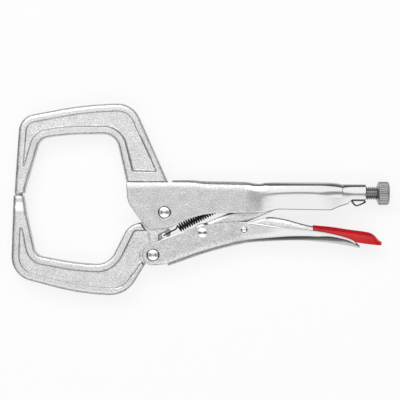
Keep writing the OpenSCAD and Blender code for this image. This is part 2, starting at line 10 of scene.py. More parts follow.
import bmesh
import bpy
import numpy as np
from bpy.props import FloatProperty, FloatVectorProperty, IntProperty, PointerProperty
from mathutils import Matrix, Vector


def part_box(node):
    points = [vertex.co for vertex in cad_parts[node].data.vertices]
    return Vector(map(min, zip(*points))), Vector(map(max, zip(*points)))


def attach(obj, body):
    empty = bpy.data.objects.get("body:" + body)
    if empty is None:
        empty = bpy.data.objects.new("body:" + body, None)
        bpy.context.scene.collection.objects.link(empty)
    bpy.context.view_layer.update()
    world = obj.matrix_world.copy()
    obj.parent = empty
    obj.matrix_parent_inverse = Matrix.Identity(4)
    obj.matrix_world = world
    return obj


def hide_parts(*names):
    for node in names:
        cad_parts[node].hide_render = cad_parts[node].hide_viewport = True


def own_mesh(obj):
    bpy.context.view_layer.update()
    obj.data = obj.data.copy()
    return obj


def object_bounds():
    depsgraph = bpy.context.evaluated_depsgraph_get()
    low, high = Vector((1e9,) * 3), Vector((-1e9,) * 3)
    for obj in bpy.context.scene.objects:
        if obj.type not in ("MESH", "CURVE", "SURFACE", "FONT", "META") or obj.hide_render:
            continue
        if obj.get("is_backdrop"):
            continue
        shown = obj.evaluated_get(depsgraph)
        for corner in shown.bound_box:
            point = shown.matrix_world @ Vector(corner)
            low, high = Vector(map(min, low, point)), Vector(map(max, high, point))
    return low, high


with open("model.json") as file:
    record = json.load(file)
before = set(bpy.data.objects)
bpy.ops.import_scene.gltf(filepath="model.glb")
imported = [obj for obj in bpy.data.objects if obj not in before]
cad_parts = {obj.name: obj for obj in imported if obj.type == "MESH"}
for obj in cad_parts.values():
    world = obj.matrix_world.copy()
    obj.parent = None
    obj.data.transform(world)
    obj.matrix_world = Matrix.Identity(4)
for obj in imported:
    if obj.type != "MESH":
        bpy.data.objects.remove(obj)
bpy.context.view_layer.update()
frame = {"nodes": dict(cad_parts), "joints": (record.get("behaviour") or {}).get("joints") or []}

bl_info = {
    "name": "Locking C-clamp pliers",
    "version": (1, 0, 0),
    "blender": (4, 5, 0),
    "location": "View3D > Sidebar > Pliers",
    "description": "Builds the visible pieces of locking C-clamp pliers on their packed frame",
    "category": "Add Mesh",
}

MM = 0.001


# ---- Places taken from the frame -------------------------------------------------------------

def pivot_of(joint_name):
    """Place of a joint's axis in the plane of the jaws, in millimetres."""
    joint = next(j for j in frame["joints"] if j["name"] == joint_name)
    return np.array(joint["pos_m"][:2]) / MM


def node_box(node):
    """Lowest and highest corners of a node, in millimetres."""
    low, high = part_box(node)
    return np.array(low) / MM, np.array(high) / MM


main_pivot = pivot_of("jaw_opens")
handle_pivot = pivot_of("handle_opens")
link_pivot = pivot_of("link_swings")
lever_pivot = pivot_of("lever_releases")
screw_low, screw_high = node_box("adjusting_screw")
knob_low, knob_high = node_box("adjusting_knob")
screw_y = (screw_low[1] + screw_high[1]) / 2
# The hole that the spring hooks into, in the moving jaw's lug.
spring_eye = np.array([handle_pivot[0] + 8.1, main_pivot[1] - 17.2])


# ---- Curves ----------------------------------------------------------------------------------

def unit(vectors):
    """Each vector divided by its length."""
    vectors = np.asarray(vectors, float)
    return vectors / np.maximum(np.linalg.norm(vectors, axis=-1, keepdims=True), 1e-12)


def left_of(directions):
    """Directions in the plane turned a quarter to the left."""
    return np.column_stack([-directions[:, 1], directions[:, 0]])


def smooth(t):
    """3t^2 - 2t^3 between 0 and 1, level outside."""
    t = np.clip(t, 0.0, 1.0)
    return t * t * (3 - 2 * t)


def at(table, x):
    """Cubic through stations (x, value) whose slope at a station is the harmonic mean of its two
    neighbouring rates, or zero where they differ in sign, so it never overshoots."""
    xs, ys = np.asarray(table, float).T
    x = np.clip(np.asarray(x, float), xs[0], xs[-1])
    h = np.diff(xs)
    rate = np.diff(ys) / h
    slope = np.concatenate([rate[:1], np.zeros(len(xs) - 2), rate[-1:]])
    a, b = rate[:-1], rate[1:]
    slope[1:-1] = np.where(a * b > 0, 2 * a * b / np.where(a + b == 0, 1, a + b), 0)
    i = np.clip(np.searchsorted(xs, x, side="right") - 1, 0, len(xs) - 2)
    s = (x - xs[i]) / h[i]
    return ((1 + 2 * s) * (1 - s) ** 2 * ys[i] + s * (1 - s) ** 2 * h[i] * slope[i]
            + s * s * (3 - 2 * s) * ys[i + 1] + s * s * (s - 1) * h[i] * slope[i + 1])


def arc_at(corner, before, after, radius, count):
    """Points of the arc of that radius that touches both edges of a corner."""
    u, v = unit(before - corner), unit(after - corner)
    half = math.acos(np.clip(u @ v, -1, 1)) / 2
    centre = corner + unit(u + v) * radius / math.sin(half)
    reach = corner + u * radius / math.tan(half) - centre
    turn = math.copysign(math.pi - 2 * half, u[1] * v[0] - u[0] * v[1])
    angles = math.atan2(reach[1], reach[0]) + turn * np.linspace(0, 1, count)
    return centre + radius * np.column_stack([np.cos(angles), np.sin(angles)])


def corner_spots(corners, closed, arc):
    """The points of each corner (x, y, radius) of an outline: an arc of `arc` points where it has a
    radius, or the corner itself."""
    corners = np.asarray(corners, float)
    n = len(corners)
    return [arc_at(corners[i, :2], corners[i - 1, :2], corners[(i + 1) % n, :2], radius, arc)
            if radius > 0 and (closed or 0 < i < n - 1) else corners[i:i + 1, :2]
            for i, radius in enumerate(corners[:, 2])]


def rounded(corners, arc, closed=True):
    """Outline through corners (x, y, radius)."""
    return np.vstack(corner_spots(corners, closed, arc))


def runs_of(corners):
    """The straights and arcs of an open outline, one after the other."""
    spots = corner_spots(corners, closed=False, arc=16)
    runs = []
    for before, after in zip(spots[:-1], spots[1:]):
        runs.append(np.vstack([before[-1], after[0]]))
        if len(after) > 1:
            runs.append(after)
    return runs


def circle_arc(centre, radius, start, end, count):
    """Points of an arc from one angle to another, in degrees."""
    angle = np.radians(np.linspace(start, end, count))
    return np.asarray(centre) + radius * np.column_stack([np.cos(angle), np.sin(angle)])


def reach_from(centre, x, y):
    """Distance of places from a centre in the plane."""
    return np.hypot(x - centre[0], y - centre[1])


def moved(table, x, y=0.0):
    """A table of pairs with x added to each first number and y to each second."""
    return [[x + a, y + b] for a, b in table]


def inset(corners, d):
    """Corners of a clockwise outline moved into it by d, with their radii fitted to the move."""
    corners = np.asarray(corners, float)
    before, here, after = (np.roll(corners, k, 0)[:, :2] for k in (1, 0, -1))
    u, v = unit(here - before), unit(after - here)
    normal = -left_of(u)
    mitre = unit(normal - left_of(v))
    moved = here + mitre * d / (mitre * normal).sum(1, keepdims=True)
    convex = u[:, 0] * v[:, 1] - u[:, 1] * v[:, 0] < 0
    radius = corners[:, 2] + np.where(convex, -d, d)
    radius = np.where(corners[:, 2] > 0, np.maximum(0.4, radius), 0)
    return np.column_stack([moved, radius])


def resample(curve, count, ease=None):
    """The same curve in `count` points at equal lengths along it."""
    steps = np.linalg.norm(np.diff(curve, axis=0), axis=1)
    along = np.concatenate([[0], np.cumsum(steps)])
    wanted = np.linspace(0, along[-1], count) if ease is None else along[-1] * ease
    return np.column_stack([np.interp(wanted, along, curve[:, k]) for k in range(curve.shape[1])])


def flowing(points, per_span):
    """Catmull-Rom curve through points: each span is the cubic whose end slopes are half the
    difference of the neighbouring points."""
    p = np.asarray(points, float)
    p = np.vstack([2 * p[0] - p[1], p, 2 * p[-1] - p[-2]])
    t = np.linspace(0, 1, per_span, endpoint=False)[None, :, None]
    a, b, c, d = (p[k:len(p) - 3 + k][:, None, :] for k in range(4))
    curve = 0.5 * (2 * b + (c - a) * t + (2 * a - 5 * b + 4 * c - d) * t ** 2
                   + (3 * b - a - 3 * c + d) * t ** 3)
    return np.vstack([curve.reshape(-1, p.shape[1]), p[-2]])


def depth_inside(points, outline):
    """Signed distance from each point to a closed outline, positive inside: the shortest way to its
    straight pieces, with the sign from the even-odd count of crossings."""
    a, b = outline, np.roll(outline, -1, 0)
    keep = np.linalg.norm(b - a, axis=1) > 1e-9
    a, b = a[keep], b[keep]
    d = b - a
    length2 = (d * d).sum(1)
    found = []
    for part in np.array_split(points, max(1, len(points) * len(a) // 3000000 + 1)):
        offset = part[:, None] - a
        t = np.clip((offset * d).sum(-1) / length2, 0, 1)
        gap = np.linalg.norm(offset - t[..., None] * d, axis=-1).min(1)
        x, y = part[:, :1], part[:, 1:]
        spans = (a[:, 1] > y) != (b[:, 1] > y)
        rise = np.where(d[:, 1] == 0, 1, d[:, 1])
        crossings = (spans & (x < a[:, 0] + d[:, 0] * (y - a[:, 1]) / rise)).sum(1)
        found.append(np.where(crossings % 2 == 1, gap, -gap))
    return np.concatenate(found)


# ---- Meshes ----------------------------------------------------------------------------------

def grid_faces(rows, columns, wrap=False, keep=None, flip=False):
    """Quads between neighbouring rows and columns of a grid; wrap joins the last column to the
    first, and keep picks the quads."""
    i, j = np.meshgrid(np.arange(rows - 1), np.arange(columns if wrap else columns - 1),
                       indexing="ij")
    k = (j + 1) % columns
    below, above = i * columns, (i + 1) * columns
    quads = np.stack([below + j, above + j, above + k, below + k], -1).reshape(-1, 4)
    if keep is not None:
        quads = quads[keep.reshape(-1)]
    return quads[:, ::-1] if flip else quads


def placed(name, data):
    """An object with that data, in the scene."""
    obj = bpy.data.objects.new(name, data)
    bpy.context.scene.collection.objects.link(obj)
    return obj


def piece(name, points, faces, body, stands_for, kind, slot, sharp=40):
    """An object at the origin with those points in millimetres, its doubles merged, its faces
    turned outwards, its shading smooth below the sharp angle and the finish of that kind."""
    used, faces = np.unique(faces, return_inverse=True)
    mesh = bpy.data.meshes.new(name)
    mesh.from_pydata((np.asarray(points, float)[used] * MM).tolist(), [],
                     faces.reshape(-1, 4).tolist())
    work = bmesh.new()
    work.from_mesh(mesh)
    bmesh.ops.remove_doubles(work, verts=work.verts, dist=2e-7)
    bmesh.ops.dissolve_degenerate(work, edges=work.edges, dist=1e-7)
    bmesh.ops.recalc_face_normals(work, faces=work.faces)
    work.to_mesh(mesh)
    work.free()
    mesh.shade_smooth()
    mesh.set_sharp_from_angle(angle=math.radians(sharp))
    obj = placed(name, mesh)
    mesh.materials.append(finish(kind))
    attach(obj, body)
    if stands_for:
        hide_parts(*stands_for)
    return obj


def slab(top, half, flip):
    """Closed body between a grid of points and its mirror in z: half is the height at each point,
    and a band of quads joins the two rims. flip lists the corners of the faces the other way
    round, for a grid whose rim runs clockwise."""
    rows, columns = half.shape
    upper = np.concatenate([top, half[..., None]], -1).reshape(-1, 3)
    count = rows * columns
    index = np.arange(count).reshape(rows, columns)
    loop = np.concatenate([index[:-1, 0], index[-1, :-1], index[:0:-1, -1], index[0, :0:-1]])
    after = np.roll(loop, -1)
    rim = np.column_stack([loop + count, after + count, after, loop])
    faces = grid_faces(rows, columns)
    faces = np.vstack([faces, faces[:, ::-1] + count, rim])
    return np.vstack([upper, upper * [1, 1, -1]]), faces[:, ::-1] if flip else faces


def lathe(profile, centre, axis, steps, wave=None):
    """Profile (along, radius) turned about an axis through centre: at angle a a point lies at
    radius * (cos a, sin a) across the axis. wave(along, a) is added to the radius."""
    along, radius = np.asarray(profile, float).T
    angle = np.linspace(0, 2 * np.pi, steps, endpoint=False)
    r = radius[:, None] + (wave(along[:, None], angle[None, :]) if wave else 0)
    r = np.where(radius[:, None] == 0, 0, r)
    p, q = r * np.cos(angle), r * np.sin(angle)
    run = np.broadcast_to(along[:, None], p.shape)
    parts = [centre[0] + p, centre[1] + q]
    parts.insert(0 if axis == "X" else 2, run)
    return np.stack(parts, -1).reshape(-1, 3), grid_faces(len(along), steps, wrap=True)


def tube(path, radius, sides):
    """A round wire along a path: circles square to the path, closed by a point at both ends."""
    t = unit(np.gradient(path, axis=0))
    steady = np.array([0.25, 0.35, 0.9])
    n = unit(steady - (t @ steady)[:, None] * t)
    b = np.cross(t, n)
    angle = np.linspace(0, 2 * np.pi, sides, endpoint=False)[:, None]
    reach = np.full(len(path), float(radius))
    reach = np.concatenate([[0], reach, [0]])[:, None, None]
    centre, n, b = (np.vstack([f[:1], f, f[-1:]])[:, None] for f in (path, n, b))
    rings = centre + reach * (np.cos(angle) * n + np.sin(angle) * b)
    return rings.reshape(-1, 3), grid_faces(len(rings), sides, wrap=True)


# ---- Finishes --------------------------------------------------------------------------------

def numbers(hexa):
    """A hex string's three numbers, from 0 to 1."""
    return [int(hexa[k:k + 2], 16) / 255 for k in (1, 3, 5)]


def linear(colour):
    """sRGB colour, as three numbers or a hex string, to the linear colour that shaders take."""
    c = np.asarray(numbers(colour) if isinstance(colour, str) else colour[:3], float)
    c = np.where(c <= 0.04045, c / 12.92, ((c + 0.055) / 1.055) ** 2.4)
    return (*c.tolist(), 1.0)


def add_node(tree, kind, inputs=None, **settings):
    """A node with its settings; each input is a value, or a node or an output to link from."""
    node = tree.nodes.new("ShaderNode" + kind)
    for key, value in settings.items():
        setattr(node, key, value)
    for key, value in (inputs or {}).items():
        if isinstance(value, bpy.types.Node):
            value = value.outputs[0]
        if isinstance(value, bpy.types.NodeSocket):
            tree.links.new(value, node.inputs[key])
        else:
            node.inputs[key].default_value = value
    return node


def new_material(name):
    """An empty material, its node tree and its object coordinates."""
    material = bpy.data.materials.new(name)
    material.use_nodes = True
    tree = material.node_tree
    tree.nodes.clear()
    return material, tree, add_node(tree, "TexCoord").outputs["Object"]


def shade(colour, amount):
    """A colour made lighter or darker by a share of itself, as the linear colour."""
    return linear([min(1.0, c * (1 + amount)) for c in colour[:3]])


# A noise pattern's values lie mostly between these two.
SPREAD = {"From Min": 0.3, "From Max": 0.7}


def satin_plating(name, colour, rough, grain_depth, polished_from=None):
    """Dull nickel plating on steel: a fine even grain scatters the light, so that highlights are
    wide and soft, and faint clouds keep broad faces from looking painted. Behind polished_from
    along X the sheet was drawn smooth, so that its reflections are sharper and it has no grain."""
    material, tree, place = new_material(name)
    # The blasted grain is really about 0.1 mm, too fine to show, so that it is drawn at 1 mm.
    grain = add_node(tree, "TexNoise", {"Vector": place, "Scale": 1 / (1.0 * MM), "Roughness": 0.6})
    clouds = add_node(tree, "TexNoise", {"Vector": place, "Scale": 1 / (7.0 * MM), "Detail": 3.0})
    speckle = add_node(tree, "MapRange", {"Value": grain, **SPREAD, "To Max": 0.86})
    mottle = add_node(tree, "MapRange", {"Value": clouds, **SPREAD, "To Max": 0.14})
    tone = add_node(tree, "Math", {0: speckle, 1: mottle}, operation="ADD")
    dull = add_node(tree, "MapRange",
                    {"Value": clouds, **SPREAD, "To Min": rough - 0.04, "To Max": rough + 0.05})
    if polished_from:
        blend_width = 26
        along = add_node(tree, "SeparateXYZ", {"Vector": place}).outputs["X"]
        polished = add_node(tree, "MapRange",
                            {"Value": along, "From Min": polished_from * MM,
                             "From Max": (polished_from + blend_width) * MM, "To Max": 0.9})
        share = add_node(tree, "Math", {0: polished, 1: -0.66, 2: 1.0}, operation="MULTIPLY_ADD")
        dull = add_node(tree, "Math", {0: dull, 1: share}, operation="MULTIPLY")
        tone = add_node(tree, "Mix", {0: polished, 2: tone, 3: 0.5})
        grain = add_node(tree, "Mix", {0: polished, 2: grain, 3: 0.5})
    tint = add_node(tree, "Mix", data_type="RGBA", inputs={
        0: tone, 6: shade(colour, -0.18), 7: shade(colour, 0.12)})
    relief = add_node(tree, "Bump", {"Height": grain, "Distance": grain_depth * MM})
    finished(tree, {"Metallic": 1.0, "Base Color": tint.outputs[2], "Roughness": dull,
                    "Normal": relief})
    return material


def patterned(name, colour, noise, tints, rough, relief, shader, squeeze=None, clouds=None,
              paints_shade=False):
    """A finish whose noise pattern drives its tint, its roughness and its height, relief mm high.
    squeeze scales the pattern along the axes, clouds is a coarser pattern that drives the tint
    instead, and one that paints shade is darkened towards near black, as painted shade, where the
    mesh's own attribute says."""
    material, tree, place = new_material(name)
    if squeeze:
        place = add_node(tree, "Mapping", {"Vector": place, "Scale": squeeze})
    pattern = add_node(tree, "TexNoise", {"Vector": place, **noise})
    tinting = pattern
    if clouds:
        tinting = add_node(tree, "TexNoise", {"Vector": place, **clouds})
    tone = add_node(tree, "MapRange", {"Value": tinting, **SPREAD})
    tint = add_node(tree, "Mix", data_type="RGBA", inputs={
        0: tone, 6: shade(colour, tints[0]), 7: shade(colour, tints[1])}).outputs[2]
    # Painted shade: the mesh's own attribute mixes near black into the tint.
    if paints_shade:
        painted_shade = add_node(tree, "Attribute", attribute_name="painted_shade").outputs["Fac"]
        tint = add_node(tree, "Mix", {0: painted_shade, 6: tint, 7: linear("#262626")},
                        data_type="RGBA").outputs[2]
    dull = add_node(tree, "MapRange",
                    {"Value": pattern, **SPREAD, "To Min": rough[0], "To Max": rough[1]})
    bump = add_node(tree, "Bump", {"Height": pattern, "Distance": relief * MM})
    finished(tree, {"Base Color": tint, "Roughness": dull, "Normal": bump, **shader})
    return material


def finished(tree, inputs):
    """Closes a material's tree with its main shader and its output."""
    shader = add_node(tree, "BsdfPrincipled", inputs)
    add_node(tree, "OutputMaterial", {"Surface": shader})


finishes = {}


def finish(kind):
    """The material of that kind, made once from the colours in the panel."""
    colours = bpy.context.scene.pliers_finish
    makers = {
        "sheet": lambda: satin_plating("satin nickel on pressed steel", colours.sheet_colour,
                                       0.36, 0.03, polished_from=166),
        "forging": lambda: satin_plating("satin nickel on blasted forging",
                                         colours.forging_colour, 0.4, 0.05),
        "lever": lambda: satin_plating("satin nickel on narrow pressed steel",
                                       colours.sheet_colour, 0.38, 0.03),
        # The lug is the same forging as the jaws, its colour painted darker as painted shade for
        # the shadow it lies in between the cheeks.
        "lug": lambda: satin_plating("forging nickel darkened as painted shade", colours.lug_painted_shade_colour,
                                     0.45, 0.05),
        # Fine rings round the X axis streak the highlight. The tool marks are really 0.1 mm apart,
        # too fine to show, so that they are drawn at 0.25 mm.
        "turned": lambda: patterned(
            "plated turned steel", colours.turned_colour, {"Scale": 1 / (0.25 * MM)},
            (-0.1, 0.04), (0.24, 0.36), 0.02, {"Metallic": 1.0}, squeeze=(1.0, 0.06, 0.06)),
        # Nearly smooth, with light scuffs from the riveting tool, and painted shade that darkens
        # the groove and the centre marks.
        "rivet": lambda: patterned(
            "bright plated rivet steel", colours.rivet_colour,
            {"Scale": 1 / (0.9 * MM), "Detail": 4.0, "Roughness": 0.6},
            (-0.06, 0.03), (0.16, 0.26), 0.015, {"Metallic": 1.0}, paints_shade=True),
        # Oiled black oxide: nearly black, with a low sheen that picks out each turn of the coil.
        "black": lambda: patterned(
            "black oxide spring steel", colours.spring_colour,
            {"Scale": 1 / (0.5 * MM), "Detail": 3.0, "Roughness": 0.6},
            (-0.25, 0.5), (0.3, 0.42), 0.02, {"Metallic": 0.6}),
        # A saturated body colour under a smooth coat, with the slight orange peel of dipping.
        "vinyl": lambda: patterned(
            "glossy dipped vinyl", colours.grip_colour,
            {"Scale": 1 / (1.6 * MM), "Roughness": 0.4}, (-0.06, 0.04), (0.26, 0.34), 0.04,
            {"Specular IOR Level": 0.3, "Coat Weight": 0.15, "Coat Roughness": 0.12},
            clouds={"Scale": 1 / (9.0 * MM)}),
    }
    if kind not in finishes:
        finishes[kind] = makers[kind]()
    return finishes[kind]


# ---- Sizes and colours that a user would change ----------------------------------------------

def millimetres(name, description, default, low, high):
    return FloatProperty(name=name, description=f"{description} in mm", default=default, min=low,
                         max=high)


def colour_value(name, description, hexa):
    return FloatVectorProperty(name=name, description=description, default=numbers(hexa), size=3,
                               min=0, max=1, subtype="COLOR_GAMMA")


def count_of(name, description, default, low, high):
    return IntProperty(name=name, description=description, default=default, min=low, max=high)


class PliersSizes(bpy.types.PropertyGroup):
    """Sizes of the fine shapes, in millimetres."""

    forging_round: millimetres("Forging edge", "Radius on the forged arms' edges", 1.4, 0.4, 3.0)
    recess_depth: millimetres("Recess depth", "Depth of the arms' recesses", 1.8, 0.5, 3.0)
    recess_wall: millimetres("Recess wall", "Width of the recesses' wall", 0.9, 0.4, 2.0)
    cut_edge: millimetres("Cut edge", "Radius on the cut edges of pressed sheet", 0.24, 0.1, 0.4)
    stake_depth: millimetres("Stake depth", "Depth of the body's staked squares", 0.14, 0.0, 0.5)
    knurl_ridges: count_of("Knurl ridges", "Number of straight ridges on the knob", 34, 12, 60)
    knurl_depth: millimetres("Knurl depth", "Depth of the knurl", 0.45, 0.1, 0.8)
    thread_pitch: millimetres("Thread pitch", "Advance of the screw in one turn", 1.5, 1.0, 2.0)
    thread_depth: millimetres("Thread depth", "Depth of the screw's thread", 0.85, 0.3, 1.0)
    spring_turns: count_of("Spring turns", "Turns of the tension spring", 24, 12, 34)
    spring_wire: millimetres("Spring wire", "Diameter of the spring's wire", 1.1, 0.8, 1.4)


class PliersFinish(bpy.types.PropertyGroup):
    """Colours of the finishes."""

    sheet_colour: colour_value("Pressed steel", "Plating of the body, handle and lever", "#cecece")
    forging_colour: colour_value("Forged steel", "Plating of the jaws and the link", "#d6d6d6")
    # Painted shade: the lug is the same forging as the jaws, painted darker for the shadow between
    # the cheeks.
    lug_painted_shade_colour: colour_value("Spring lug", "Forging plating darkened as painted shade inside the body", "#a4a4a4")
    turned_colour: colour_value("Turned steel", "Plating of the screw and the knob", "#a8a8a8")
    rivet_colour: colour_value("Rivets", "Plating of the rivets and pins", "#ececec")
    spring_colour: colour_value("Spring", "Black oxide of the spring and the clip", "#1c1c1e")
    grip_colour: colour_value("Grip", "Vinyl of the dipped grip", "#d2151d")
    floor_colour: colour_value("Floor", "Colour of the floor", "#fafafa")


# ---- Forgings --------------------------------------------------------------------------------

def ribbon(outer, inner, offsets, middle):
    """Grid between two matched curves. Column k lies offsets[k] inside the outer curve, measured
    square to it, the last columns mirror that at the inner curve, and `middle` columns share the
    width between them evenly. In narrow places all offsets shrink together."""
    across = inner - outer
    normals = []
    for curve, sign in ((outer, 1), (inner, -1)):
        t = unit(np.gradient(curve, axis=0))
        n = left_of(t)
        side = np.sign((n * across * sign).sum(1, keepdims=True))
        normals.append(np.abs((n * side * across).sum(1)))
    width = np.linalg.norm(across, axis=1)
    near, far_side = (np.maximum(w, 0.35 * width) + 1e-9 for w in normals)
    offsets = np.asarray(offsets, float)
    a = offsets * (np.minimum(1, 0.42 * near / offsets[-1]) / near)[:, None]
    b = 1 - offsets[::-1] * (np.minimum(1, 0.42 * far_side / offsets[-1]) / far_side)[:, None]
    share = np.arange(1, middle + 1) / (middle + 1)
    mid = a[:, -1:] + (b[:, :1] - a[:, -1:]) * share
    f = np.concatenate([a, mid, b], 1)
    return outer[:, None] + across[:, None] * f[..., None]


def bend_curve(count):
    """Unit curve of a pressed bend from (0, 0) to (1, 1): its slope angle goes 22, 33, 37, 44, 90
    degrees, so that the sheet turns fast, runs on as a chamfer and turns again at the back."""
    u = np.linspace(0, 1, 201)
    angle = np.radians(np.interp(u, [0, 0.12, 0.4, 0.85, 1], [22, 33, 37, 44, 90]))
    run, drop = (np.concatenate([[0], np.cumsum((f[1:] + f[:-1]) / 2)])
                 for f in (np.cos(angle), np.sin(angle)))
    share = np.linspace(0, 1, count + 1)
    return np.interp(share, u, run / run[-1]), np.interp(share, u, drop / drop[-1])


def quarter_round(depth, radius):
    """How far a surface drops at that depth inside an edge with a quarter-circle round."""
    t = 1 - np.clip(depth / radius, 0, 1)
    return radius * (1 - np.sqrt(np.maximum(0, 1 - t * t)))


def forged_edge(depth, radius, draft):
    """How far a forging drops at that depth inside its outline: a quarter round, and a parabola
    that takes the draft off the edge."""
    draft_width = 2.8
    return quarter_round(depth, radius) + draft * np.clip(1 - depth / draft_width, 0, 1) ** 2


def plate(name, outer, inner, offsets, middle, height, body, stands_for=(), flip=False):
    """A forging between two matched curves, the same above and below: half its height is
    height(x, y, depth) with depth the distance to its outline."""
    grid = ribbon(outer, inner, offsets, middle)
    outline = np.vstack([outer, inner[::-1]])
    depth = np.abs(depth_inside(grid.reshape(-1, 2), outline)).reshape(grid.shape[:2])
    depth[:, [0, -1]] = 0
    depth[[0, -1]] = 0
    piece(name, *slab(grid, height(grid[..., 0], grid[..., 1], depth), flip), body, stands_for,
          "forging", "plated_forging", sharp=55)


# Half the thickness of the forged arms, how much less it is at their tips, the width of the flat
# rim round their recess, and the radii of the moving jaw's hub and boss.
ARM_HALF = 6.0
TIP_LESS = 1.4
RIM = 5.2
HUB_RADIUS = 10.5
BOSS_RADIUS = 7.4
# How far the draft takes an edge down, at the tips and along the arms.
TIP_DRAFT = 1.5
ARM_DRAFT = 0.75


def arm_half(x, along):
    """Half the thickness of an arm, which grows thinner towards its tip; along is how far from the
    tips' line a place lies."""
    return ARM_HALF - TIP_LESS * smooth((13 - along) / 8) * smooth((12 - x) / 6)


def forged_arm(name, outer, inner, panel, cap_at, edge_at, body, stands_for):
    """A forging seen from its flat side: half its height is the arm's half-thickness less a recess,
    never above the cap where the forging is thinned, and less an edge along the outline. The recess
    is a smooth step inside the panel's outline, with a wider wall towards the inner edge, which
    is rounder, and the outer edge has more draft. cap_at(x, y) gives the cap, edge_at(x, y) the
    radius and the draft of the edge."""
    sizes = bpy.context.scene.pliers_sizes
    r, wall = sizes.forging_round, sizes.recess_wall
    edge = r * np.array([0, 0.03, 0.1, 0.2, 0.35, 0.55, 0.78, 1.0, 1.25])
    steps = RIM + wall * np.array([-1.2, -0.2, 0, 0.12, 0.28, 0.45, 0.62, 0.78, 0.95, 1.15, 1.35,
                                   1.6])
    inside = rounded(inset(panel, RIM), 14)

    def height(x, y, depth):
        recess = depth_inside(np.column_stack([x.ravel(), y.ravel()]), inside).reshape(x.shape)
        inward = smooth((np.linspace(0, 1, x.shape[1]) - 0.4) / 0.2)
        step = sizes.recess_depth * smooth(recess / (wall * (0.85 + 0.65 * inward)))
        radius, draft = edge_at(x, y)
        radius = radius * (1 - 0.7 * (1 - inward) * (draft > 0))
        draft = np.minimum(draft * (1.6 - 0.6 * inward), TIP_DRAFT)
        return (np.minimum(arm_half(x, np.abs(y)) - step, cap_at(x, y))
                - forged_edge(depth, radius, draft))

    offsets = np.concatenate([edge, [r + 1.0, r + 1.8], steps])
    plate(name, outer, inner, offsets, 9, height, body, stands_for,
          flip=outer[:, 1].mean() > inner[:, 1].mean())


def edge_shape(x, y, radius, draft):
    """Radius and draft of the edge at a place: towards the jaw tips the radius falls to 1.2 mm and
    the draft grows to a bevel."""
    tip_radius = 1.2
    near_tip = smooth((26 - np.abs(y)) / 16) * smooth((20 - x) / 6)
    return radius + (tip_radius - radius) * near_tip, draft + (TIP_DRAFT - draft) * near_tip


# Corners (x, y, radius) of both jaws: the outer and the inner edge from the tip to the pivots, the
# outline that the recess keeps its distance from, and the outline of the fixed jaw's tang.
FIXED_OUTER = [[-1.85, 0, 0], [-3.3, 0.5, 1.0], [-3.1, 4.8, 0], [-1.3, 29, 0], [0.7, 57.6, 13.2],
               [49.2, 66.597, 263], [84.7, 67.897, 17.8], [110.6, 9.2, 0], [110.8, 6.5, 0]]
FIXED_INNER = [[2.1, 0, 0], [4.7, 1.3, 1.6], [5.2, 4.8, 0], [11.3, 25.7, 0], [15.96, 41.5, 8.7],
               [36.6, 44.6, 175], [71.7, 44.7, 11.5], [79.7, 9.2, 0], [80.3, 6, 0]]
FIXED_TANG = [[97.8, -9, 0], [86.2, -9, 1], [81.8, -2, 0], [79.8, 9, 0], [110.6, 9, 0],
              [110.8, 6.5, 0], [128, 6.5, 2], [128, -9, 2], [118.2, -9, 0]]
FIXED_PANEL = [[110.6, 11.6, 6], [79.7, 11.6, 6], [71.7, 44.7, 11.5], [36.6, 44.6, 175],
               [15.96, 41.5, 8.7], [-6.7, -36.1, 6], [0.7, 57.6, 13.2], [49.2, 66.6, 263],
               [84.7, 67.9, 17.8]]
MOVING_OUTER = [[-1.85, 0, 0], [-4.0, -0.4, 1.2], [-4.2, -4.6, 0], [-4.4, -14.4, 0],
                [-5.4, -45.2, 0], [-5.5, -60.2, 18.3], [44.8, -73.396, 175], [79.4, -75.296, 22]]
MOVING_INNER = [[2.0, 0, 0], [3.9, -0.9, 1.3], [4.6, -4.6, 0], [6.0, -14.4, 0], [11.2, -38, 0],
                [12.37, -44.8, 8.1], [41.8, -50.4, 175], [66.5, -51.9, 14.7]]
MOVING_PANEL = [[-2.8, 31.7, 6.6], [12.37, -44.8, 8.1], [41.8, -50.4, 175], [66.5, -51.9, 14.7],
                [82.1, -20.7, 9], [104, -20.7, 6], [104, -41.8, 8], [79.4, -75.3, 22],
                [44.8, -73.4, 175], [-5.5, -60.2, 18.3], [-5.4, -45.2, 0]]


def even(curve, count):
    """A curve with its doubled points taken out, in equal steps."""
    keep = np.concatenate([[True], np.linalg.norm(np.diff(curve, axis=0), axis=1) > 1e-6])
    return resample(curve[keep], count)


def matched(outer_runs, inner_runs, step=0.75):
    """Two curves from the same number of runs, each pair of runs cut into equal counts."""
    curves = ([], [])
    for pair in zip(outer_runs, inner_runs):
        length = max(np.linalg.norm(np.diff(run, axis=0), axis=1).sum() for run in pair)
        count = max(3, int(length / step) + 2)
        for curve, run in zip(curves, pair):
            curve.append(even(run, count)[:-1] if len(run) > 1 else np.repeat(run, count - 1, 0))
    return (np.vstack([*curve, runs[-1][-1:]])
            for curve, runs in zip(curves, (outer_runs, inner_runs)))


def make_fixed_tang():
    """Tang of the fixed jaw between the cheeks of the body: a plate from the foot of the arm to a
    circle round the hub of the moving jaw, each ray of the grid running from the circle out."""
    tang_half, clearance = 3.8, 0.5
    hub = circle_arc(main_pivot, HUB_RADIUS + clearance, 157.6, 22.4, 40)
    outer, inner = matched([rounded(FIXED_TANG, 8, closed=False)], [hub], step=1.2)
    plate("fixed_jaw_tang", outer, inner, [0, 0.05, 0.15, 0.3, 0.6], 8,
          lambda x, y, depth: tang_half - quarter_round(depth, 0.3), "upper_handle")


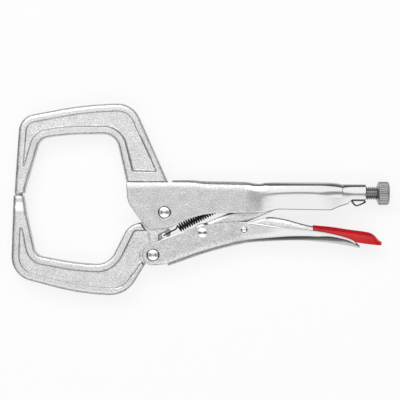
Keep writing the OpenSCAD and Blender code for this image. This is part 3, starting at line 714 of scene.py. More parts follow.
def make_fixed_jaw():
    """Fixed jaw: an arm with an I-section, stepped down at its foot where its tang begins."""
    foot_y = 9.3
    corner = bpy.context.scene.pliers_sizes.forging_round

    def cap_at(x, y):
        step = 4.15 + 1.85 * np.clip((y - 9.25) / 0.5, 0, 1) - 0.3 * (1 - smooth((y - 9.6) / 3.0))
        return np.where(x > 60, step, ARM_HALF)

    def edge_at(x, y):
        arm = (y > foot_y) | (x < 60)
        radius = corner * (1 + 0.6 * smooth((x - 40) / 30))
        return edge_shape(x, y, np.where(arm, radius, 0.3), np.where(arm, ARM_DRAFT, 0))

    outer, inner = matched(runs_of(FIXED_OUTER), runs_of(FIXED_INNER))
    forged_arm("fixed_jaw_forging", outer, inner, FIXED_PANEL, cap_at, edge_at, "upper_handle",
               ["fixed_jaw"])


def make_moving_jaw():
    """Moving jaw: the same I-section, thinned at both pivots. Its two long edges run on round the
    boss at the handle pivot and the hub at the main pivot, and meet at the top of the hub."""
    thinned, hub_clear, boss_clear = 3.78, 19, 10
    corner = bpy.context.scene.pliers_sizes.forging_round
    boss = circle_arc(handle_pivot, BOSS_RADIUS, 228, 308, 14)
    neck_x = handle_pivot[0] + 4.1
    hub_right = circle_arc(main_pivot, HUB_RADIUS, -55, 90, 30)
    hub_left = circle_arc(main_pivot, HUB_RADIUS, 222, 90, 30)
    neck = np.array([boss[-1], [neck_x, -38], [neck_x, -29.5], [neck_x + 5.5, -27], hub_right[0]])
    # The last inner straight, its corner and the hub face the boss, the neck and the hub.
    inner_runs = runs_of(MOVING_INNER + [[82.1, -20.7, 14.8], [hub_left[0][0], -20.8, 0]])
    inner_runs[-1] = np.vstack([inner_runs[-1], hub_left[:1]])
    outer, inner = matched(runs_of(MOVING_OUTER + [[*boss[0], 0]]) + [boss, neck, hub_right],
                           inner_runs + [hub_left])

    def cap_at(x, y):
        near = np.minimum(np.minimum(reach_from(main_pivot, x, y) - hub_clear,
                                     reach_from(handle_pivot, x, y) - boss_clear), 96.5 - x)
        rise = (ARM_HALF - thinned) * smooth(near + 0.2)
        return np.where(near > 1.2, ARM_HALF, thinned + rise)

    def edge_at(x, y):
        thin = (x > 97) | (reach_from(main_pivot, x, y) < hub_clear)
        return edge_shape(x, y, np.where(thin, 0.6, corner), np.where(thin, 0, ARM_DRAFT))

    forged_arm("moving_jaw_forging", outer, inner, MOVING_PANEL, cap_at, edge_at, "lower_jaw",
               ["moving_jaw"])


def make_spring_lug():
    """Thin lug under the hub that the spring hooks into: a plate round its hole, each ray of the
    grid running from the hole to the outline, with both rims rounded."""
    lug_half, hole_radius, rim_round = 1.6, 1.85, 0.4
    corners = [[-6.1, 6.6, 0], [5.1, 4.5, 1.2], [4.4, -2, 3], [-3, -6.4, 1], [-6.1, -6.4, 0],
               [-6.1, 6.6, 0]]
    corners = np.array(corners) + [*spring_eye, 0]
    outline = even(rounded(corners, 12, closed=False), 97)
    hole = spring_eye + hole_radius * unit(outline - spring_eye)
    share = np.array([0, 0.04, 0.1, 0.2, 0.45, 0.75, 0.88, 0.95, 1])
    grid = hole[:, None] + (outline - hole)[:, None] * share[None, :, None]
    reach = np.linalg.norm(outline - hole, axis=1)[:, None]
    half = lug_half - quarter_round(np.minimum(share, 1 - share) * reach, rim_round)
    upper = np.concatenate([grid, half[..., None]], -1).reshape(-1, 3)
    rows, columns = half.shape
    count = rows * columns
    top = grid_faces(rows, columns)
    index = np.arange(count).reshape(rows, columns)
    walls = [np.column_stack([index[:-1, k], index[1:, k], index[1:, k] + count,
                              index[:-1, k] + count]) for k in (0, -1)]
    piece("spring_lug", np.vstack([upper, upper * [1, 1, -1]]),
          np.vstack([top, top[:, ::-1] + count, *walls]), "lower_jaw", [], "lug", "plated_forging")


def make_toggle_link():
    """Toggle link: a flat bar between two parallel edges that ends in a half circle, with a thicker
    round boss at its pivot."""
    tip_x, boss_radius, tip_radius = 204.48, 6.8, 4.6
    bar_half, boss_more = 2.3, 1.7
    ahead = np.array([tip_x, screw_y]) - link_pivot
    length = np.hypot(*ahead)
    cos, sin = ahead / length
    turn = np.array([[cos, sin], [-sin, cos]])
    upper = [circle_arc([0, 0], boss_radius, 180, 62, 24),
             np.array([[3.2, 6.0], [6.5, 5.7], [length - 12, 5.7]]),
             np.array([[length - 12, 5.7], [length - 1, 4.5]]),
             circle_arc([length, 0], tip_radius, 102, 0, 16)]
    outer, inner = (curve @ turn + link_pivot for curve in
                    matched(upper, [run * [1, -1] for run in upper], step=1.2))

    def height(x, y, depth):
        boss = smooth((boss_radius + 0.5 - reach_from(link_pivot, x, y)) / 0.8)
        return bar_half + boss_more * boss - forged_edge(depth, 0.3, 0.8)

    plate("toggle_link_forging", outer, inner, [0, 0.03, 0.1, 0.2, 0.3, 0.6, 1.0, 1.6, 2.2, 2.8], 6,
          height, "link", ["toggle_link"], flip=True)


# ---- Pressed channels ------------------------------------------------------------------------

def measure(shape, key, x):
    """One of a channel's measures at x: it is kept as a number, as a table of stations or as a
    function of x."""
    value = shape.get(key, 0.0)
    if callable(value):
        value = value(x)
    elif np.ndim(value) == 2:
        value = at(value, x)
    return np.broadcast_to(np.asarray(value, float), np.shape(x))


def rolled(depth, x, shape):
    """How far the outer face of a sheared sheet falls towards its cut edge: roll * (1 - depth)^2,
    over the last millimetre."""
    return measure(shape, "roll", x) * np.clip(1 - depth, 0, 1) ** 2


def channel_skins(x, shape, counts, sheet):
    """Outer and inner half-sections (y, z) of a channel at stations x, from the open edge to the
    middle of the web. The cheek is a shallow roof, z = half - tilt * (sqrt(d^2 + soft^2) - soft)
    with d from its ridge, less lean * s^2 over the strip next to the bend, where s runs from 0 to
    1. The bend follows the unit bend curve, fold_y high and fold_z deep, and the web closes it."""
    cheek, fold, web = counts
    side, strip, soft = shape["side"], shape["strip"], 1.7
    back, open_edge, fold_y, fold_z, half, ridge, tilt, lean = (
        measure(shape, key, x)[:, None]
        for key in ("back", "open", "fold_y", "fold_z", "half", "ridge", "tilt", "lean"))
    low_half = measure(shape, "half_low", x)[:, None] if "half_low" in shape else half
    start = back - side * fold_y
    share = np.concatenate([[0, 0.012, 0.026, 0.044], np.linspace(0.07, 1, cheek - 3)])
    y = open_edge + (start - open_edge) * share
    d = y - ridge
    low = smooth(0.5 - side * d / 6.0)
    z = half * (1 - low) + low_half * low - tilt * (np.sqrt(d * d + soft * soft) - soft)
    z = z - lean * np.clip((side * (y - start) + strip) / strip, 0, 1) ** 2
    run, drop = bend_curve(fold)
    share = np.linspace(0, 1, web + 1)[1:]
    skins = []
    for wall in (0.0, sheet):
        high, deep = (np.maximum(f - wall, 0.4) if wall else f for f in (fold_y, fold_z))
        zs = z - wall if wall else z - rolled(side * (y - open_edge), x[:, None], shape)
        bend_y, bend_z = start + side * high * run[1:], zs[:, -1:] - deep * drop[1:]
        skins.append((np.hstack([y, bend_y, bend_y[:, -1:] + 0 * share]),
                      np.hstack([zs, bend_z, bend_z[:, -1:] * (1 - share)])))
    return skins


def sheet_solid(outer, inner, faces, edge):
    """Closed sheet between two skins of the same grid. Each cut edge is two quarter circles of
    radius `edge`: at angle a a rim point moves out * edge * sin a and inwards by edge * (1 - cos
    a), where out is square to the way through the sheet."""
    used = np.unique(faces)
    _, first, index = np.unique(np.round(outer[used], 4), axis=0, return_index=True,
                                return_inverse=True)
    place = np.zeros(len(outer), int)
    place[used] = index.reshape(-1)
    faces, outer, inner = place[faces], outer[used][first], inner[used][first]
    count = len(outer)
    through = unit(outer - inner)
    a, b = faces.reshape(-1), np.roll(faces, -1, 1).reshape(-1)
    a, b = a[a != b], b[a != b]
    rim = ~np.isin(b * count + a, a * count + b)
    a, b = a[rim], b[rim]
    away = unit(np.cross(outer[b] - outer[a], through[a] + through[b]))
    out = np.zeros_like(outer)
    np.add.at(out, a, away)
    np.add.at(out, b, away)
    out = unit(out - (out * through).sum(1, keepdims=True) * through)
    rim_points = np.unique(np.concatenate([a, b]))
    outer[rim_points] -= out[rim_points] * edge
    inner[rim_points] -= out[rim_points] * edge
    p, q, t, o = (f[rim_points] for f in (outer, inner, through, out))
    arcs = [(edge * math.sin(g), edge * (1 - math.cos(g))) for g in np.radians([30, 60, 90])]
    rings = [p + o * s - t * d for s, d in arcs] + [q + o * s + t * d for s, d in arcs[::-1]]
    order = np.zeros(count, int)
    order[rim_points] = np.arange(len(rim_points))

    def ladder(v):
        return [v] + [2 * count + k * len(rim_points) + order[v] for k in range(6)] + [count + v]

    walls = [np.column_stack([b1, a1, a2, b2]) for a1, a2, b1, b2 in
             zip(ladder(a)[:-1], ladder(a)[1:], ladder(b)[:-1], ladder(b)[1:])]
    return np.vstack([outer, inner, *rings]), np.vstack([faces, faces[:, ::-1] + count, *walls])


# How far ahead of a channel's first section its flat front ends.
FRONT_GAP = 0.7
# The rings of an end cap: share of the last section's size, share of the cap's reach.
CAP_RINGS = ((0.96, 0.25), (0.88, 0.5), (0.72, 0.75), (0.5, 0.91), (0.25, 0.98), (0.0, 1.0))


def pressed_channel(name, stations, shape, counts, front, sheet, edge, body, stands_for, kind,
                    slot, dents=None, end_cap=0.0):
    """A channel pressed from sheet: sections at the stations, with counts of points across the
    cheek, the bend and the web; ahead of the first one the cheeks run on flat to a front curve,
    with no bend and no web between them. An end cap closes the last section with rings that shrink
    to its middle."""
    cheek, fold, web = counts
    flat = cheek + 1
    lead = 0
    grids = []

    def across_bend(values):
        return np.hstack([values, np.repeat(values[:, -1:], fold + web, 1)])

    for y, z in channel_skins(stations, shape, counts, sheet):
        x = np.broadcast_to(stations[:, None], y.shape)
        if front is not None:
            curve, shoulder = front
            share = (y[0, :flat] - y[0, 0]) / (y[0, flat - 1] - y[0, 0])
            start = resample(curve, flat, share)
            end_y = y[0, 0] + (shoulder - y[0, 0]) * share
            near = np.concatenate([[0, 0.008, 0.018, 0.03], np.linspace(0.045, 1, 46)])[:, None]
            px = start[:, 0] + (stations[0] - FRONT_GAP - start[:, 0]) * near
            py = start[:, 1] + (end_y - start[:, 1]) * near
            lead = len(near)
            x, y = (np.vstack([across_bend(f), g]) for f, g in ((px, x), (py, y)))
            fall = 0 * px
            if not grids:
                fall = rolled(np.hypot(px - px[:1], py - py[:1]), stations[0], shape)
            z = np.vstack([np.repeat(z[:1], lead, 0) - across_bend(fall), z])
        if dents is not None:
            z = z - dents(x, y) * (np.arange(z.shape[1]) < flat)
        mirror = slice(-2, None, -1)
        grids.append(np.stack([np.hstack([x, x[:, mirror]]), np.hstack([y, y[:, mirror]]),
                               np.hstack([z, -z[:, mirror]])], -1))
    if end_cap:
        for k, reach in enumerate((end_cap, end_cap - sheet)):
            last = grids[k][-1]
            centre = last.mean(0)
            rings = [centre + (last - centre) * s + [reach * r, 0, 0] for s, r in CAP_RINGS]
            grids[k] = np.concatenate([grids[k], np.stack(rings)])
    rows, columns = grids[0].shape[:2]
    middle = np.arange(columns - 1)
    bent = (middle >= flat - 1) & (middle < columns - flat)
    keep = ~((np.arange(rows - 1) < lead)[:, None] & bent[None, :])
    faces = grid_faces(rows, columns, keep=keep, flip=shape["side"] < 0)
    points, faces = sheet_solid(*(grid.reshape(-1, 3) for grid in grids), faces, edge)
    piece(name, points, faces, body, stands_for, kind, slot, sharp=48)


def spaced(marks, steps):
    """Stations from mark to mark, in steps of about the given lengths."""
    runs = [np.linspace(a, b, max(2, int(round((b - a) / s)) + 1))[:-1]
            for a, b, s in zip(marks[:-1], marks[1:], steps)]
    return np.concatenate(runs + [[marks[-1]]])


# Thickness of each sheet and of the dipped skin, and the cut edge of the lever and the skin.
BODY_SHEET, HANDLE_SHEET, LEVER_SHEET, GRIP_SKIN = 2.4, 2.2, 1.45, 0.84
LEVER_EDGE, GRIP_EDGE = 0.22, 0.3

# The body along X: its back, the height and the depth of its bend, the ridge of its roof section,
# and half its width above and below that ridge. BODY_SIDE is its outline below the back.
BODY_BACK = [[113.6, 10.6], [126.9, 10.7], [140, 9.9], [160, 9.6], [170, 9.2], [174, 8.4],
             [178, 8.0], [183, 8.8], [190, 9.05], [225, 9.0], [232, 8.75], [237, 8.2],
             [240.5, 7.6], [257.2, 7.5]]
BODY_FOLD_Y = [[113.6, 1.8], [126, 2.0], [132, 2.1], [140, 2.5], [170, 2.6], [178, 2.2],
               [188, 2.7], [205, 2.6], [225, 2.6], [232, 2.9], [240, 2.8], [246, 2.2], [257.2, 2.1]]
BODY_FOLD_Z = [[113.6, 1.7], [126, 1.9], [140, 2.5], [170, 2.6], [178, 2.1], [188, 2.7],
               [230, 2.8], [240, 2.6], [246, 2.1], [257.2, 2.0]]
BODY_RIDGE = [[166, -2.2], [178, -0.7], [188, 0.4], [197, 1.0], [206, 1.2], [216, 1.15],
              [226, 0.5], [257.2, 0.0]]
BODY_HALF = [[168, 6.95], [185, 9.9], [222, 9.9], [239.4, 7.75], [240.3, 7.4], [247, 6.6],
             [257.2, 6.5]]
BODY_HALF_LOW = [[168, 6.95], [185, 9.9], [222, 9.9], [247, 6.6], [257.2, 6.5]]
BODY_SIDE = [[79.6, 9, 0], [80.5, -5.5, 18.5], [95.3, -25.8, 9], [111, -25.8, 1.5],
             [131.6, -14, 66], [181.7, -13.5, 8], [191.7, -11, 8], [231.3, -11.7, 4],
             [237.9, -8.9, 6], [243.8, -7, 2], [246.8, -4.1, 2], [257.2, -4.1, 0]]


def make_body():
    """Pressed body: flat cheeks round the head, a bent back behind it, a grip of roof-shaped
    section and a square-shouldered tube round the screw, in one sheet."""
    sizes = bpy.context.scene.pliers_sizes
    side = rounded(BODY_SIDE, 24, closed=False)
    lowest = min(y for _, y, _ in BODY_SIDE)
    corner = int(np.argmax(side[:, 1] < lowest + 0.05))
    front, under = side[:corner + 1], side[corner:]
    front = np.vstack([under[:1], front[::-1]])
    flare_x, shoulder = 168, 9.0
    shape = {
        "side": 1, "strip": 4.4, "roll": 0.42, "back": BODY_BACK, "half": BODY_HALF,
        "half_low": BODY_HALF_LOW, "fold_y": BODY_FOLD_Y, "fold_z": BODY_FOLD_Z,
        "ridge": BODY_RIDGE,
        "open": lambda x: np.interp(x, under[:, 0], under[:, 1]),
        "tilt": lambda x: 0.14 * smooth((x - flare_x) / 24),
        "lean": lambda x: 0.62 - 0.2 * smooth((x - flare_x - 2) / 16),
    }
    first, last = BODY_BACK[0][0], BODY_BACK[-1][0]
    stations = spaced([first, 118, 127, 166, 190, 228, 238, 243, 248, last],
                      [0.6, 0.8, 2.0, 0.8, 2.2, 0.8, 0.3, 0.6, 1.2])
    stakes, stake_half, stake_wall = ((88.4, -2.6), (122.5, -2.6)), (3.0, 4.5), 0.6

    def dents(x, y):
        total = 0
        for cx, cy in stakes:
            box = np.minimum(stake_half[0] - np.abs(x - cx), stake_half[1] - np.abs(y - cy))
            total = total + sizes.stake_depth * np.exp(-(box / stake_wall) ** 2)
        return total

    pressed_channel("body_pressing", stations, shape, (50, 9, 4), (front, shoulder), BODY_SHEET,
                    sizes.cut_edge, "upper_handle", ["body_channel"], "sheet", "plated_sheet",
                    dents=dents)


# The lower handle, measured from its pivot: its open edge and its back, the height and the depth of
# its bend, half its width, and how far its open edge is rolled.
HANDLE_OPEN = [[-1.5, 8.2], [20, 16.8], [42.2, 22.6], [64.4, 24.5], [90.3, 21.5], [118.4, 18.2],
               [138.4, 14.1], [148.8, 10.4], [153.2, 6.6]]
HANDLE_BACK = [[10.8, -8.2], [20.5, -4.9], [30.5, -1.3], [40.5, 1.9], [50.5, 4.7], [60.5, 7.1],
               [71.8, 9.2], [86.6, 10.1], [104, 10.7], [112, 10.6], [120.5, 10.0], [131, 8.9],
               [140.5, 7.5], [153.2, 5.1]]
HANDLE_FOLD_Y = [[10.8, 2.1], [20, 2.5], [72, 2.4], [81, 2.7], [91, 3.1], [101, 3.5], [120, 3.9],
                 [131, 5.0], [141, 4.8], [153.2, 1.0]]
HANDLE_FOLD_Z = [[10.8, 2.0], [20, 2.4], [72, 2.3], [90, 2.9], [104, 3.2], [120, 3.8], [131, 5.1],
                 [141, 5.1], [153.2, 1.6]]
HANDLE_HALF = [[10.4, 6.65], [66, 6.65], [98, 10], [138, 10], [153.2, 9.2]]
HANDLE_ROLL = [[10, 0.32], [16, 0.3], [28, 0.06], [58, 0.06], [72, 0.42], [153.2, 0.42]]


def make_lower_handle():
    """Pressed lower handle: flat cheeks with a round nose at its pivot, a bent back below them that
    swells into a wide grip, and a rounded end."""
    x0 = handle_pivot[0]
    x1, end = x0 + HANDLE_BACK[0][0], x0 + HANDLE_BACK[-1][0]
    open_edge, back = moved(HANDLE_OPEN, *handle_pivot), moved(HANDLE_BACK, *handle_pivot)
    half, fold_y, fold_z, roll = (moved(table, x0) for table in
                                  (HANDLE_HALF, HANDLE_FOLD_Y, HANDLE_FOLD_Z, HANDLE_ROLL))
    nose_radius = 7.8
    nose = circle_arc(handle_pivot, nose_radius, 111.9, 262, 40)
    shoulder = back[0][1] + 1.4
    shape = {
        "side": -1, "strip": 3.8, "lean": 0.62, "roll": roll, "back": back, "fold_z": fold_z,
        "open": lambda x: np.maximum(at(open_edge, x), at(back, x) + 1.6),
        "half": lambda x: at(half, x) - 2.2 * smooth((x - end + 6) / 6) ** 2,
        "fold_y": lambda x: np.minimum(at(fold_y, x), 0.75 * (at(open_edge, x) - at(back, x))),
        "ridge": lambda x: at(open_edge, x) + 4,
        "tilt": lambda x: 0.1 * smooth((x - x0 - 54) / 16),
    }
    stations = spaced([x1, x1 + 5, x0 + 68, x0 + 92, x0 + 140, end], [0.6, 1.5, 0.8, 1.5, 0.5])
    pressed_channel("lower_handle_pressing", stations, shape, (26, 9, 4), (nose, shoulder),
                    HANDLE_SHEET, bpy.context.scene.pliers_sizes.cut_edge, "lower_handle",
                    ["lower_handle"], "sheet", "plated_sheet")


# The release lever, measured from its pivot: its back and its open edge, half its width, the size
# of its bend and the outline of its nose.
LEVER_BACK = [[-5, 2.6], [2, 5.1], [8, 7.0], [13.2, 8.8], [20, 9.3], [28.7, 8.1], [42.8, 4.4],
              [50.9, 2.6], [63.5, 1.4], [78.3, -0.8], [90.2, -2.4], [93.6, -3.2], [96.6, -5],
              [98.6, -7.2], [100.6, -9.2]]
LEVER_OPEN = [[-5, -3], [2, -4.4], [30, -4.2], [50.9, -4.7], [77.7, -7.8], [86, -9], [93, -10],
              [100.6, -10.8]]
LEVER_HALF = [[-5, 4], [17, 4], [50, 5.7], [89, 5.7], [95, 5.2], [100.6, 3]]
LEVER_FOLD = [[-5, 0.9], [17, 0.9], [32, 0.9], [50, 1.0], [60, 2.0], [90, 2.0], [100.6, 1.2]]
LEVER_NOSE = [[-5, -3], [-5.8, -1.5], [-6, 0], [-5.7, 1.2], [-4.6, 2.6], [-2.4, 3.6], [2, 5.0],
              [8, 6.9]]
# Where the dipped skin begins, behind the lever's pivot.
GRIP_START = 50.9


def lever_shape(grow, bead=lambda x: 0):
    """Shape of the release lever, or of the skin that stands `grow` proud of it, less a bead."""
    back, open_edge = moved(LEVER_BACK, *lever_pivot), moved(LEVER_OPEN, *lever_pivot)
    half, fold = moved(LEVER_HALF, lever_pivot[0]), moved(LEVER_FOLD, lever_pivot[0])
    return {
        "side": 1, "strip": 2.2, "tilt": 0.1, "lean": 0.3, "ridge": open_edge,
        "back": lambda x: at(back, x) + grow - bead(x),
        "open": lambda x: at(open_edge, x) - grow,
        "half": lambda x: at(half, x) + grow - bead(x),
        "fold_y": lambda x: np.minimum(at(fold, x), 0.6 * (at(back, x) - at(open_edge, x))) + grow,
        "fold_z": lambda x: np.minimum(at(fold, x), at(half, x) - 1.0) + grow,
    }


def make_release_lever():
    """Release lever: a narrow pressed channel inside the lower handle, open below."""
    x0 = lever_pivot[0]
    stations = spaced([x0 + 16.5, x0 + 20, x0 + 88, x0 + 100.3], [0.6, 1.6, 0.6])
    shape = lever_shape(0.0)
    front = np.vstack([lever_pivot + [2, -4.4], flowing(moved(LEVER_NOSE, *lever_pivot), 5)])
    shoulder = measure(shape, "back", stations[0]) - 0.2
    pressed_channel("release_lever_pressing", stations, shape, (12, 7, 4), (front, shoulder),
                    LEVER_SHEET, LEVER_EDGE, "lever", ["release_lever"], "lever", "plated_sheet")


def make_lever_grip():
    """Dipped grip: a skin over the end of the lever, thicker at its front bead and closed round the
    lever's tip."""
    x0 = lever_pivot[0]
    start = x0 + GRIP_START
    stations = spaced([start, start + 1.2, start + 4, x0 + 88, x0 + 100.6], [0.2, 0.5, 1.6, 0.5])
    # The skin's inner face stands just clear of the lever.
    skin = lever_shape(GRIP_SKIN + 0.02, lambda x: 0.4 * (1 - smooth((x - start) / 0.9)))
    pressed_channel("dipped_grip", stations, skin, (14, 9, 4), None, GRIP_SKIN, GRIP_EDGE, "lever",
                    ["lever_grip"], "vinyl", "red_vinyl", end_cap=1.7)


# ---- Screw, knob, clip -----------------------------------------------------------------------

def make_screw():
    """Adjusting screw: a plain core with a short nose, and over it the thread, a helix whose
    radius is a flattened triangle wave of (x / pitch - angle / full turn). The thread turns with
    the knob."""
    sizes = bpy.context.scene.pliers_sizes
    nose_x, end_x = screw_low[0], screw_high[0]
    crest = (screw_high[2] - screw_low[2]) / 2
    root = crest - sizes.thread_depth
    core = [(nose_x, 0), (nose_x, 2.9), (nose_x + 0.6, 3.5), (nose_x + 4, 3.5),
            (nose_x + 4.6, root), (end_x, root), (end_x, 0)]
    piece("screw_core", *lathe(core, (screw_y, 0.0), "X", 64), "screw", ["adjusting_screw"],
          "turned", "plated_thread")
    pitch = sizes.thread_pitch
    start, end = nose_x + 5.0, knob_low[0] + 1.0
    along = np.linspace(start, end, int((end - start) / pitch * 10))
    fade = smooth((along - start) / pitch) * smooth((end - along) / 0.3)
    fade[[0, -1]] = 0

    def helix(x, angle):
        phase = (x / pitch - angle / (2 * np.pi)) % 1.0
        wave = np.abs(2 * phase - 1)
        return sizes.thread_depth * np.clip(1.35 * wave - 0.1, 0, 1) * np.interp(x, along, fade)

    base = np.full_like(along, root + 0.004)
    profile = np.vstack([[start, 0], np.column_stack([along, base]), [end, 0]])
    piece("screw_thread", *lathe(profile, (screw_y, 0.0), "X", 40, wave=helix), "knob", [],
          "turned", "plated_thread", sharp=180)


def make_knob():
    """Knob: a turned profile with a straight knurl, whose ridges are a triangle wave round the
    rim."""
    sizes = bpy.context.scene.pliers_sizes
    start, end = knob_low[0], knob_high[0]
    r = (knob_high[2] - knob_low[2]) / 2
    length = end - start
    rise = [(0, r), (0, 3.2), (0.45, 2.6), (0.8, 1.5), (1.1, 0.7), (1.5, 0.2), (2.0, 0), (2.8, 0),
            (4.4, 0), (6.2, 0)]
    fall = [(1.9, 0), (1.4, 0), (1.0, 0.2), (0.55, 0.55), (0.2, 1.05), (0, 1.8), (0, 4),
            (0.25, 4.6), (0.25, r)]
    profile = [(x, r - less) for x, less in rise] + [(length - x, r - less) for x, less in fall]
    ridges = sizes.knurl_ridges

    def knurl(along, angle):
        wave = np.abs(((angle * ridges / (2 * np.pi)) % 1.0) * 2 - 1)
        deep = smooth((along - 1.2) / 0.9) * smooth((length - 0.45 - along) / 0.9)
        return -sizes.knurl_depth * (1 - np.clip(1.5 * wave, 0, 1)) * deep

    points, faces = lathe(profile, (screw_y, 0.0), "X", ridges * 8, wave=knurl)
    points = points + [start, 0, 0]
    piece("knurled_knob", points, faces, "knob", ["adjusting_knob"], "turned", "plated_thread",
          sharp=38)


def make_clip():
    """Clip under the collar: a spring strip along a bent path, thin and as wide as the collar."""
    low, high = node_box("screw_clip")
    top, right, left = high[1], high[0], low[0]
    path = np.array([[right - 0.6, top - 0.45], [left + 1.0, top - 0.45], [left + 0.5, top - 0.9],
                     [left + 0.9, top - 1.9], [left + 2.9, top - 3.9], [left + 4.1, top - 4.15],
                     [left + 7.2, top - 3.0], [left + 9.6, top - 1.8], [right - 0.45, top - 1.25],
                     [right - 0.45, top - 0.75]])
    curve = even(flowing(path, 8), 90)
    n = left_of(unit(np.gradient(curve, axis=0)))
    # The strip's section: half its thickness and its width, with corners cut by two small lengths.
    half_t, half_w, cut_t, cut_w = 0.38, (high[2] - low[2]) / 2 - 0.1, 0.15, 0.2
    upper = [(half_t, half_w - cut_w), (half_t - cut_t, half_w), (cut_t - half_t, half_w),
             (-half_t, half_w - cut_w)]
    ring = np.array([(a, -b) for a, b in upper[::-1]] + upper)
    rings = np.stack([curve[:, None, 0] + n[:, None, 0] * ring[:, 0],
                      curve[:, None, 1] + n[:, None, 1] * ring[:, 0],
                      np.broadcast_to(ring[:, 1], (len(curve), len(ring)))], -1)
    ends = [np.broadcast_to(rings[k].mean(0), (1, *rings[k].shape)) for k in (0, -1)]
    rings = np.concatenate([ends[0], rings, ends[1]])
    piece("bent_clip", rings.reshape(-1, 3), grid_faces(len(rings), len(ring), wrap=True),
          "upper_handle", ["screw_clip"], "black", "black_spring_steel", sharp=50)


# ---- Rivets ----------------------------------------------------------------------------------

def rivet_heads(name, profile, node, joint, face, body, groove, marks, steps):
    """Both heads of a rivet, turned about Z from a profile (z, radius) that starts at the middle of
    the upper head and is measured from the outer face. Two centre marks at (+-marks, 0) and the
    scratch between them are bell curves, pressed in and painted dark as a painted reflection, and
    the groove, a band of radii, is painted dark as painted shade."""
    mark_depth = 0.12

    def pits(x, y):
        spots = np.exp(-((np.abs(x) - marks) / 0.85) ** 2 - (y / 0.75) ** 2)
        scratch = 0.9 * np.exp(-(x / (marks + 0.2)) ** 6 - (y / 0.45) ** 2)
        return np.maximum(spots, scratch) * (marks > 0)

    upper = [(face + z, r) for z, r in profile]
    lower = [(-z, r) for z, r in upper]
    points, faces = lathe(lower + upper[::-1], joint, "Z", steps)
    outside = np.sign(points[:, 2]) * (np.abs(points[:, 2]) > face - 0.1)
    points[:, 2] -= outside * mark_depth * pits(*(points[:, :2] - joint).T)
    heads = piece(name, points, faces, body, [node], "rivet", "bright_rivet", sharp=44)
    spots = np.empty(len(heads.data.vertices) * 3)
    heads.data.vertices.foreach_get("co", spots)
    x, y = (spots.reshape(-1, 3)[:, :2] / MM - joint).T
    reach = np.hypot(x, y)
    # Painted shade in the groove and a painted dark reflection in the centre marks, kept as a
    # vertex attribute.
    ring = smooth((reach - groove[0]) / 0.15 + 0.5) * smooth((groove[1] - reach) / 0.15 + 0.5)
    layer = heads.data.attributes.new("painted_shade", "FLOAT", "POINT")
    layer.data.foreach_set("value", np.maximum(ring, pits(x, y)).astype(np.float32))


def dome(height, fall, power, radii):
    """Profile of a domed head: height - fall * (r / rim)^power at each radius."""
    return [(height - fall * (r / radii[-1]) ** power, r) for r in radii]


def make_rivets():
    """Two grooved rivets at the main pivots, a plain domed rivet at the link and a small pin at the
    lever. The hidden pin that anchors the spring keeps its own shape and takes their finish."""
    grooved = dome(0.72, 0.5, 2.2, (0, 0.35, 0.7, 1.05, 1.4, 1.75, 2.1, 2.45, 2.8, 3.2, 3.6, 3.95))
    grooved += [(0.08, 4.08), (0.04, 4.2), (0.04, 4.45), (0.06, 4.6), (0.16, 4.74), (0.2, 4.86),
                (0.12, 5.0), (-1.2, 5.0), (-1.2, 4.1)]
    for kind, joint, body in (("main", main_pivot, "upper_handle"),
                              ("handle", handle_pivot, "lower_jaw")):
        node = f"{kind}_rivet"
        rivet_heads(f"{node}_heads", grooved, node, joint, node_box(node)[1][2] - 0.35, body,
                    (4.0, 4.72), 1.9, 72)
    face = node_box("lever_pin")[1][2] - 0.3
    plain = dome(1.0, 0.8, 2.2, (0, 0.4, 0.8, 1.2, 1.6, 2.0, 2.4, 2.8, 3.1, 3.35, 3.52, 3.6))
    rivet_heads("link_rivet_heads", plain + [(-0.4, 2.7)], "link_rivet", link_pivot, face,
                "lower_handle", (9, 9), 1.9, 64)
    small = dome(0.42, 0.25, 2, (0, 0.3, 0.6, 0.9, 1.2, 1.5, 1.9))
    small += [(0.06, 1.97), (0.04, 2.1), (0.06, 2.3), (0.16, 2.42), (0.1, 2.6), (-0.8, 2.6),
              (-0.8, 2.2)]
    rivet_heads("lever_pin_heads", small, "lever_pin", lever_pivot, face, "lower_handle",
                (1.9, 2.36), 0, 48)
    pin = frame["nodes"]["spring_pin"]
    pin.data.materials.clear()
    pin.data.materials.append(finish("rivet"))


# ---- Tension spring --------------------------------------------------------------------------

def make_spring():
    """Tension spring: a wire that leaves the lug's hole, winds as a helix along a sloping line and
    ends in a ring round its pin."""
    sizes = bpy.context.scene.pliers_sizes
    slope, squash_slope, kept = math.radians(27), math.radians(18.8), 0.812
    length, coil_radius, ring_radius = 45.0, 2.65, 2.25
    ahead = np.array([math.cos(slope), math.sin(slope)])
    up = np.array([-ahead[1], ahead[0]])
    begin = main_pivot + [10.4, -11.8]
    anchor = begin + ahead * (length + 6.2)
    turns = sizes.spring_turns
    s = np.linspace(0, 1, turns * 20 + 1)
    angle = 2 * np.pi * turns * s
    r = coil_radius * (1 - 0.25 * (1 - smooth(s / 0.03)))
    line = begin + ahead * (length * s)[:, None]
    coil = np.column_stack([line + up * (r * np.cos(angle))[:, None], r * np.sin(angle)])
    hook = [[-0.2, -0.1, -2.4], [-0.1, 0, -1.2], [0, 0, 0], [0.2, 0.1, 1.6], [1.2, 0.7, 2.4],
            [3.8, 2.0, 2.4], [6.4, 3.6, 1.8]]
    hook = np.vstack([np.array(hook) + [*spring_eye, 0], [*(begin - [2.0, 0.6]), 1.0], coil[0]])
    turn = np.radians(np.arange(150, -121, -15))
    around = np.cos(turn)[:, None] * ahead + np.sin(turn)[:, None] * up
    loop = np.column_stack([anchor + ring_radius * around, 0 * turn])
    tail = [coil[-1], [*(begin + ahead * (length + 1.6) + up * 2.0), 0.3], loop[0]]
    path = np.vstack([flowing(hook, 6)[:-1], coil, flowing(tail, 6)[1:-1], loop])
    spring = piece("coil_spring", *tube(path, sizes.spring_wire / 2, 10), "upper_handle",
                   ["tension_spring"], "black", "black_spring_steel", sharp=60)
    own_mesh(spring)


# ---- Stage -----------------------------------------------------------------------------------

